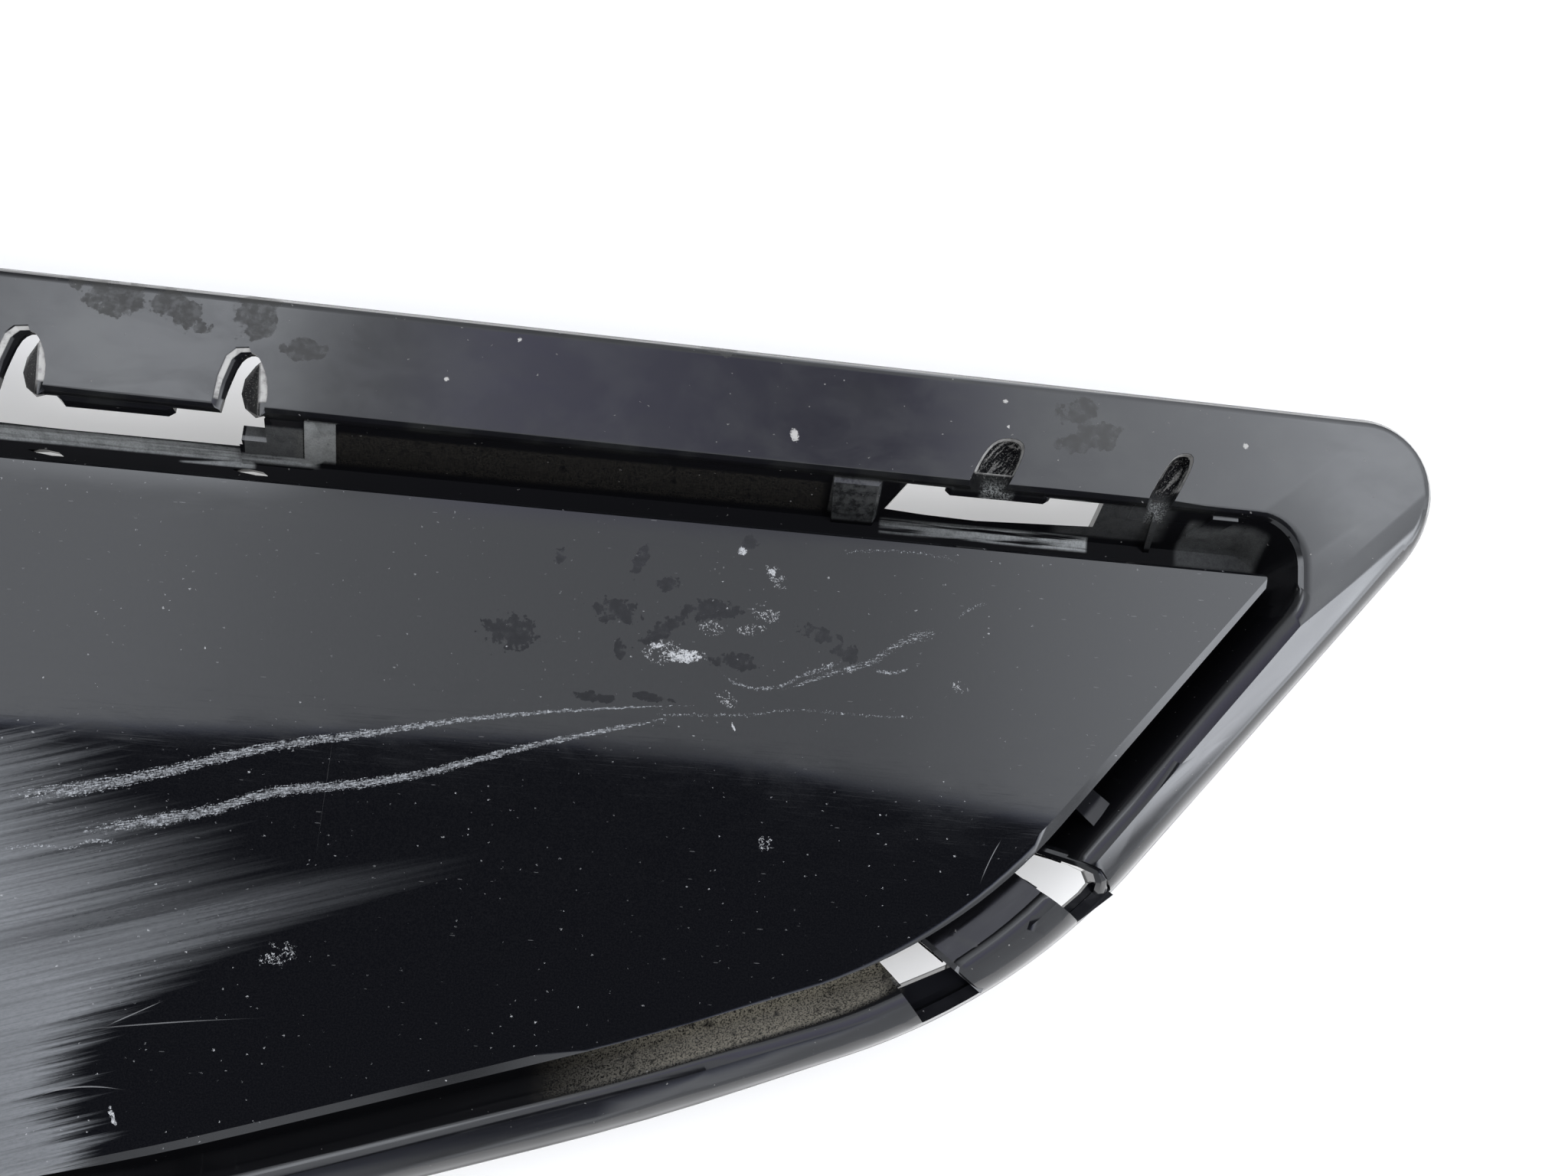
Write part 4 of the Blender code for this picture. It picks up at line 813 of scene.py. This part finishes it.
def lay_of(part):
    """Middle, direction and lengths of a small part, read from the run of its own long edges."""
    mesh = part.data
    runs = {}
    for edge in mesh.edges:
        a, b = (mesh.vertices[i].co for i in edge.vertices)
        step = b - a
        if abs(step.z) < 1e-5 and step.length > 1e-5:
            angle = round(math.degrees(math.atan2(step.y, step.x)) % 180.0, 1)
            runs[angle] = runs.get(angle, 0.0) + step.length
    angle = math.radians(max(runs, key=runs.get))
    way = Vector((math.cos(angle), math.sin(angle)))
    side = Vector((-way.y, way.x))
    lengths = [v.co.xy.dot(way) for v in mesh.vertices]
    widths = [v.co.xy.dot(side) for v in mesh.vertices]
    low, high = min(v.co.z for v in mesh.vertices), max(v.co.z for v in mesh.vertices)
    mid = way * (min(lengths) + max(lengths)) / 2 + side * (min(widths) + max(widths)) / 2
    return Vector((mid.x, mid.y, low)), angle, max(lengths) - min(lengths), max(widths) - min(widths), high - low


def mesh_of_rings(name, rings):
    """Closed mesh through rings of equal count, with flat ends."""
    work = bmesh.new()
    made = [[work.verts.new(p) for p in ring] for ring in rings]
    count = len(rings[0])
    for low, high in zip(made, made[1:]):
        for i in range(count):
            j = (i + 1) % count
            work.faces.new((low[i], low[j], high[j], high[i]))
    work.faces.new(list(reversed(made[0])))
    work.faces.new(made[-1])
    bmesh.ops.recalc_face_normals(work, faces=work.faces)
    mesh = finished(work, name)
    mesh.set_sharp_from_angle(angle=SHARP_ANGLE)
    return mesh


def stand_for(name, mesh, node, place, angle=0.0):
    """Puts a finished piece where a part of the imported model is, and hides that part."""
    piece = put(name, mesh)
    piece.location = place
    piece.rotation_euler = (0.0, 0.0, angle)
    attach(piece, ROOT)
    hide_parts(node)
    return piece


def numbered(stem):
    names = [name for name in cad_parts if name.startswith(stem + "_")]
    return sorted(names, key=lambda name: int(name.rsplit("_", 1)[1]))


def zinc_finish(fixings):
    """Zinc plating: bright, faintly mottled, with a few dull bloom spots."""
    material, nodes, surface = new_material("zinc_plated_steel")
    place = nodes.take("ShaderNodeTexCoord", output="Object")
    mottle = place.noise(900.0, 4.0, 0.6)
    bloom = place.noise(420.0, 3.0).ramp(0.56, 0.68)
    tone = mottle.ramp(0.35, 0.65).blend(fixings.zinc_colour, ZINC_DULL)
    nodes.fill(surface, {
        "Base Color": bloom.blend(tone, ZINC_BLOOM), "Roughness": mottle.ramp(0.3, 0.7, 0.24, 0.38) + bloom * 0.3,
        "Metallic": 1.0, "Normal": relief(mottle, 0.35, 0.00004)})
    return material


def screw_mesh(fixings, head_radius, height, head_height=2.4 * MM, shank=1.75 * MM):
    """Hex washer-head screw from its head upwards, with a rolled thread."""
    across, core = 0.76 * head_radius, shank - fixings.thread_height
    turns = [math.tau * i / SCREW_SIDES for i in range(SCREW_SIDES)]
    half_side = math.tau / 12

    def ring(z, radius):
        return [(radius(a) * math.cos(a), radius(a) * math.sin(a), z) for a in turns]

    def circle(z, radius):
        return ring(z, lambda a: radius)

    def hexagon(z, corner, grow=0.0):
        flat, corner = across * math.cos(half_side), corner * across
        return ring(z, lambda a: min(flat / math.cos(a % (2 * half_side) - half_side), corner) + grow)

    rings = [circle(fixings.socket_depth, 0.2 * across), circle(fixings.socket_depth, 0.5 * across),
             circle(0.0, 0.66 * across), hexagon(0.0, 0.9), hexagon(0.3 * MM, 0.985),
             hexagon(head_height - 0.95 * MM, 0.985), hexagon(head_height - 0.8 * MM, 0.985, 0.15 * MM),
             circle(head_height - 0.62 * MM, head_radius - 0.25 * MM), circle(head_height - 0.4 * MM, head_radius),
             circle(head_height - 0.08 * MM, head_radius), circle(head_height, head_radius - 0.1 * MM),
             circle(head_height, core)]
    step = fixings.thread_pitch / 8
    z = head_height + step
    while z < height - 0.05 * MM:
        grow = min(1.0, (z - head_height) / (0.8 * MM), (height - z) / (1.6 * MM))
        thin = min(1.0, 0.45 + (height - z) / (2.4 * MM))

        def thread(a, z=z, grow=grow, thin=thin):
            turn = (z / fixings.thread_pitch - a / math.tau) % 1.0
            ridge = max(0.0, 1.0 - abs(turn - 0.5) / 0.28)
            return core * thin + fixings.thread_height * ridge * max(0.0, grow)

        rings.append(ring(z, thread))
        z += step
    rings.append(circle(height, 0.4 * core))
    return mesh_of_rings("hex_washer_screw", rings)


class COVERPANEL_OT_screws(bpy.types.Operator):
    """Builds the hex washer-head screws that hold the gloss panel from behind"""
    bl_idname = "cover_panel.screws"
    bl_label = "Screws"

    def execute(self, context):
        fixings = context.scene.panel_fixings
        finish = zinc_finish(fixings)
        mesh = None
        for index, node in enumerate(numbered("screw")):
            low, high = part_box(node)
            if mesh is None:
                mesh = screw_mesh(fixings, (high.x - low.x) / 2, high.z - low.z)
                mesh.materials.append(finish)
            place = Vector(((low.x + high.x) / 2, (low.y + high.y) / 2, low.z))
            stand_for("hex_screw_%d" % (index + 1), mesh, node, place, 0.7 * index)
        return {"FINISHED"}


def spring_finish(fixings):
    """Phosphated spring steel: dark grey, rubbed bright where it has been pushed in."""
    material, nodes, surface = new_material("phosphated_spring_steel")
    place = nodes.take("ShaderNodeTexCoord", output="Object")
    mottle = place.noise(700.0, 5.0, 0.65)
    height = place.split()[2]
    stretched = nodes.take("ShaderNodeVectorMath", {0: place, 1: (300.0, 4000.0, 60.0)}, operation="MULTIPLY")
    drawn = stretched.noise(1.0, 3.0)
    rubbed = height.between(0.0045, 0.0075, 0.001) * drawn.ramp(0.42, 0.6)
    tone = mottle.ramp(0.35, 0.65).blend(fixings.spring_colour, SPRING_DARK)
    nodes.fill(surface, {
        "Base Color": rubbed.blend(tone, SPRING_BRIGHT), "Metallic": 1.0,
        "Roughness": rubbed.fade(mottle.ramp(0.3, 0.7, 0.36, 0.5), 0.24),
        "Normal": relief(mottle + drawn * 0.3, 0.3, 0.00005)})
    return material


def clip_mesh(fixings, length, width, height):
    """Folded spring clip: a bent sheet with pressed-out barbs between slots."""
    skin = fixings.clip_sheet / 2
    bulge, foot = width / 2 - skin, width / 2 - 2.2 * MM - skin
    leg = [(bulge - 1.3 * MM, height - skin), (bulge - 0.35 * MM, 0.76 * height), (bulge, 0.6 * height),
           (bulge - 0.5 * MM, 0.46 * height), (foot + 0.5 * MM, 0.27 * height), (foot, 0.17 * height),
           (foot - 0.1 * MM, 0.08 * height), (foot - 0.6 * MM, skin), (0.4 * foot, skin)]
    path = leg + [(0.0, skin)] + [(-y, z) for y, z in reversed(leg)]
    line = []
    for i in range(len(path) - 1):
        before, a, b, after = (Vector(path[max(0, min(len(path) - 1, i + k))]) for k in (-1, 0, 1, 2))
        for step in range(4):
            t = step / 4
            line.append(0.5 * (2 * a + (b - before) * t + (2 * before - 5 * a + 4 * b - after) * t * t
                               + (3 * a - before - 3 * b + after) * t ** 3))
    line.append(Vector(path[-1]))
    teeth = fixings.clip_teeth
    edge = length / 2 - skin
    bay = 2 * edge / teeth
    columns = [-edge]
    for tooth in range(teeth):
        left = -edge + tooth * bay
        columns += [left + bay * f for f in (0.22, 0.34, 0.5, 0.66, 0.78)]
    columns.append(edge)
    work = bmesh.new()
    grid = []
    for x in columns:
        grid.append([work.verts.new((x, p.x, p.y)) for p in line])
    low, high = 0.3 * height, 0.8 * height
    for c in range(len(columns) - 1):
        in_bay = (c - 1) % 5 if 0 < c < len(columns) - 1 else 4
        for r in range(len(line) - 1):
            mid = (line[r] + line[r + 1]) / 2
            slot = in_bay in (0, 3) and low < mid.y < high
            top = in_bay in (1, 2) and high - 0.14 * height < mid.y < high
            if not slot and not top:
                work.faces.new((grid[c][r], grid[c][r + 1], grid[c + 1][r + 1], grid[c + 1][r]))
    for c in range(1, len(columns) - 1):
        if (c - 1) % 5 in (1, 2, 3):
            for r, p in enumerate(line):
                if low < p.y < high:
                    push = 0.9 * MM * (p.y - low) / (high - low)
                    grid[c][r].co.y -= math.copysign(push, p.x)
    bmesh.ops.delete(work, geom=[v for v in work.verts if not v.link_faces], context="VERTS")
    return finished(work, "spring_clip")


class COVERPANEL_OT_clips(bpy.types.Operator):
    """Builds the folded spring clips on the ends of the blades"""
    bl_idname = "cover_panel.clips"
    bl_label = "Spring clips"

    def execute(self, context):
        fixings = context.scene.panel_fixings
        finish = spring_finish(fixings)
        mesh = None
        for index, node in enumerate(numbered("clip")):
            place, angle, length, width, height = lay_of(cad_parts[node])
            if mesh is None:
                mesh = clip_mesh(fixings, length, width, height)
                mesh.materials.append(finish)
            piece = stand_for("spring_clip_%d" % (index + 1), mesh, node, place, angle)
            skin = piece.modifiers.new("sheet", "SOLIDIFY")
            skin.thickness = fixings.clip_sheet
            skin.offset = 0.0
            burr = piece.modifiers.new("rolled_edge", "BEVEL")
            burr.width = 0.08 * MM
            burr.segments = 2
            burr.angle_limit = math.radians(50)
        return {"FINISHED"}


def foam_finish(fixings):
    """Closed-cell foam: matt, pitted, greyed by dust along its skin."""
    material, nodes, surface = new_material("closed_cell_foam")
    place = nodes.take("ShaderNodeTexCoord", output="Object")
    cells, _ = place.cells(1500.0)
    soft = place.noise(260.0, 4.0)
    tone = cells.ramp(0.1, 0.7).blend(fixings.foam_colour, FOAM_SKIN)
    dusty = soft.ramp(0.5, 0.72, 0.0, 0.35)
    nodes.fill(surface, {
        "Base Color": dusty.blend(tone, FOAM_DUST), "Roughness": cells.ramp(0.0, 0.8, 0.98, 0.82),
        "Specular IOR Level": 0.25, "Normal": relief(cells + soft * 0.6, 0.9, 0.00018)})
    return material


def seal_mesh(fixings, name, length, width, height):
    """Soft strip with pinched edges and slightly uneven sides, along its own length."""
    count = max(12, int(length / (2.5 * MM)))
    rings = []
    pull = fixings.foam_bulge
    for i in range(count + 1):
        t = i / count
        x = (t - 0.5) * length
        end = min(1.0, min(t, 1.0 - t) * length / (1.2 * MM))
        shrink = 0.72 + 0.28 * math.sqrt(end)
        wave = 0.1 * MM * (math.sin(37.0 * t + 1.3) + 0.6 * math.sin(91.0 * t))
        half_w = (width / 2 - 0.16 * MM) * shrink + 0.5 * wave
        half_h = height / 2 * (0.86 + 0.14 * shrink)
        ring = []
        for k in range(SEAL_SIDES):
            a = math.tau * k / SEAL_SIDES
            c, s = math.cos(a), math.sin(a)
            y = math.copysign(abs(c) ** SEAL_SQUARENESS, c) * half_w
            z = math.copysign(abs(s) ** SEAL_SQUARENESS, s) * half_h
            if s < 0:
                y -= math.copysign(pull * 0.5 * abs(s), c) * (1 if abs(c) > 0.05 else 0)
            ring.append((x, y, height / 2 + z))
        rings.append(ring)
    return mesh_of_rings(name, rings)


class COVERPANEL_OT_seals(bpy.types.Operator):
    """Builds the foam strips stuck behind the flange"""
    bl_idname = "cover_panel.seals"
    bl_label = "Foam seals"

    def execute(self, context):
        fixings = context.scene.panel_fixings
        finish = foam_finish(fixings)
        for node, name in (("seal_left", "foam_strip_left"), ("seal_right", "foam_strip_right")):
            place, angle, length, width, height = lay_of(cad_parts[node])
            mesh = seal_mesh(fixings, name, length, width, height)
            mesh.materials.append(finish)
            stand_for(name, mesh, node, place, angle)
        return {"FINISHED"}


# ---------------------------------------------------------------- add-on

STEPS = (COVERPANEL_OT_stage, COVERPANEL_OT_tray, COVERPANEL_OT_gloss_panel, COVERPANEL_OT_screws,
         COVERPANEL_OT_clips, COVERPANEL_OT_seals)
SETTINGS = (("panel_plastic", PlasticSettings), ("panel_fixings", FixingSettings),
            ("panel_studio", StudioSettings))


class COVERPANEL_PT_sidebar(bpy.types.Panel):
    """Lists the steps that finish the cover panel, with their sizes and colours"""
    bl_label = "Cover Panel"
    bl_space_type = "VIEW_3D"
    bl_region_type = "UI"
    bl_category = "Cover Panel"

    def draw(self, context):
        layout = self.layout
        for step in STEPS:
            layout.operator(step.bl_idname)
        for name, group in SETTINGS:
            box = layout.box()
            for key in group.__annotations__:
                box.prop(getattr(context.scene, name), key)


def register():
    for name, group in SETTINGS:
        bpy.utils.register_class(group)
        setattr(bpy.types.Scene, name, PointerProperty(type=group))
    for step in STEPS:
        bpy.utils.register_class(step)
    bpy.utils.register_class(COVERPANEL_PT_sidebar)


def unregister():
    bpy.utils.unregister_class(COVERPANEL_PT_sidebar)
    for step in reversed(STEPS):
        bpy.utils.unregister_class(step)
    for name, group in reversed(SETTINGS):
        delattr(bpy.types.Scene, name)
        bpy.utils.unregister_class(group)


def main():
    register()
    bpy.ops.cover_panel.stage()
    bpy.ops.cover_panel.tray()
    bpy.ops.cover_panel.gloss_panel()
    bpy.ops.cover_panel.screws()
    bpy.ops.cover_panel.clips()
    bpy.ops.cover_panel.seals()


if __name__ == "__main__":
    main()
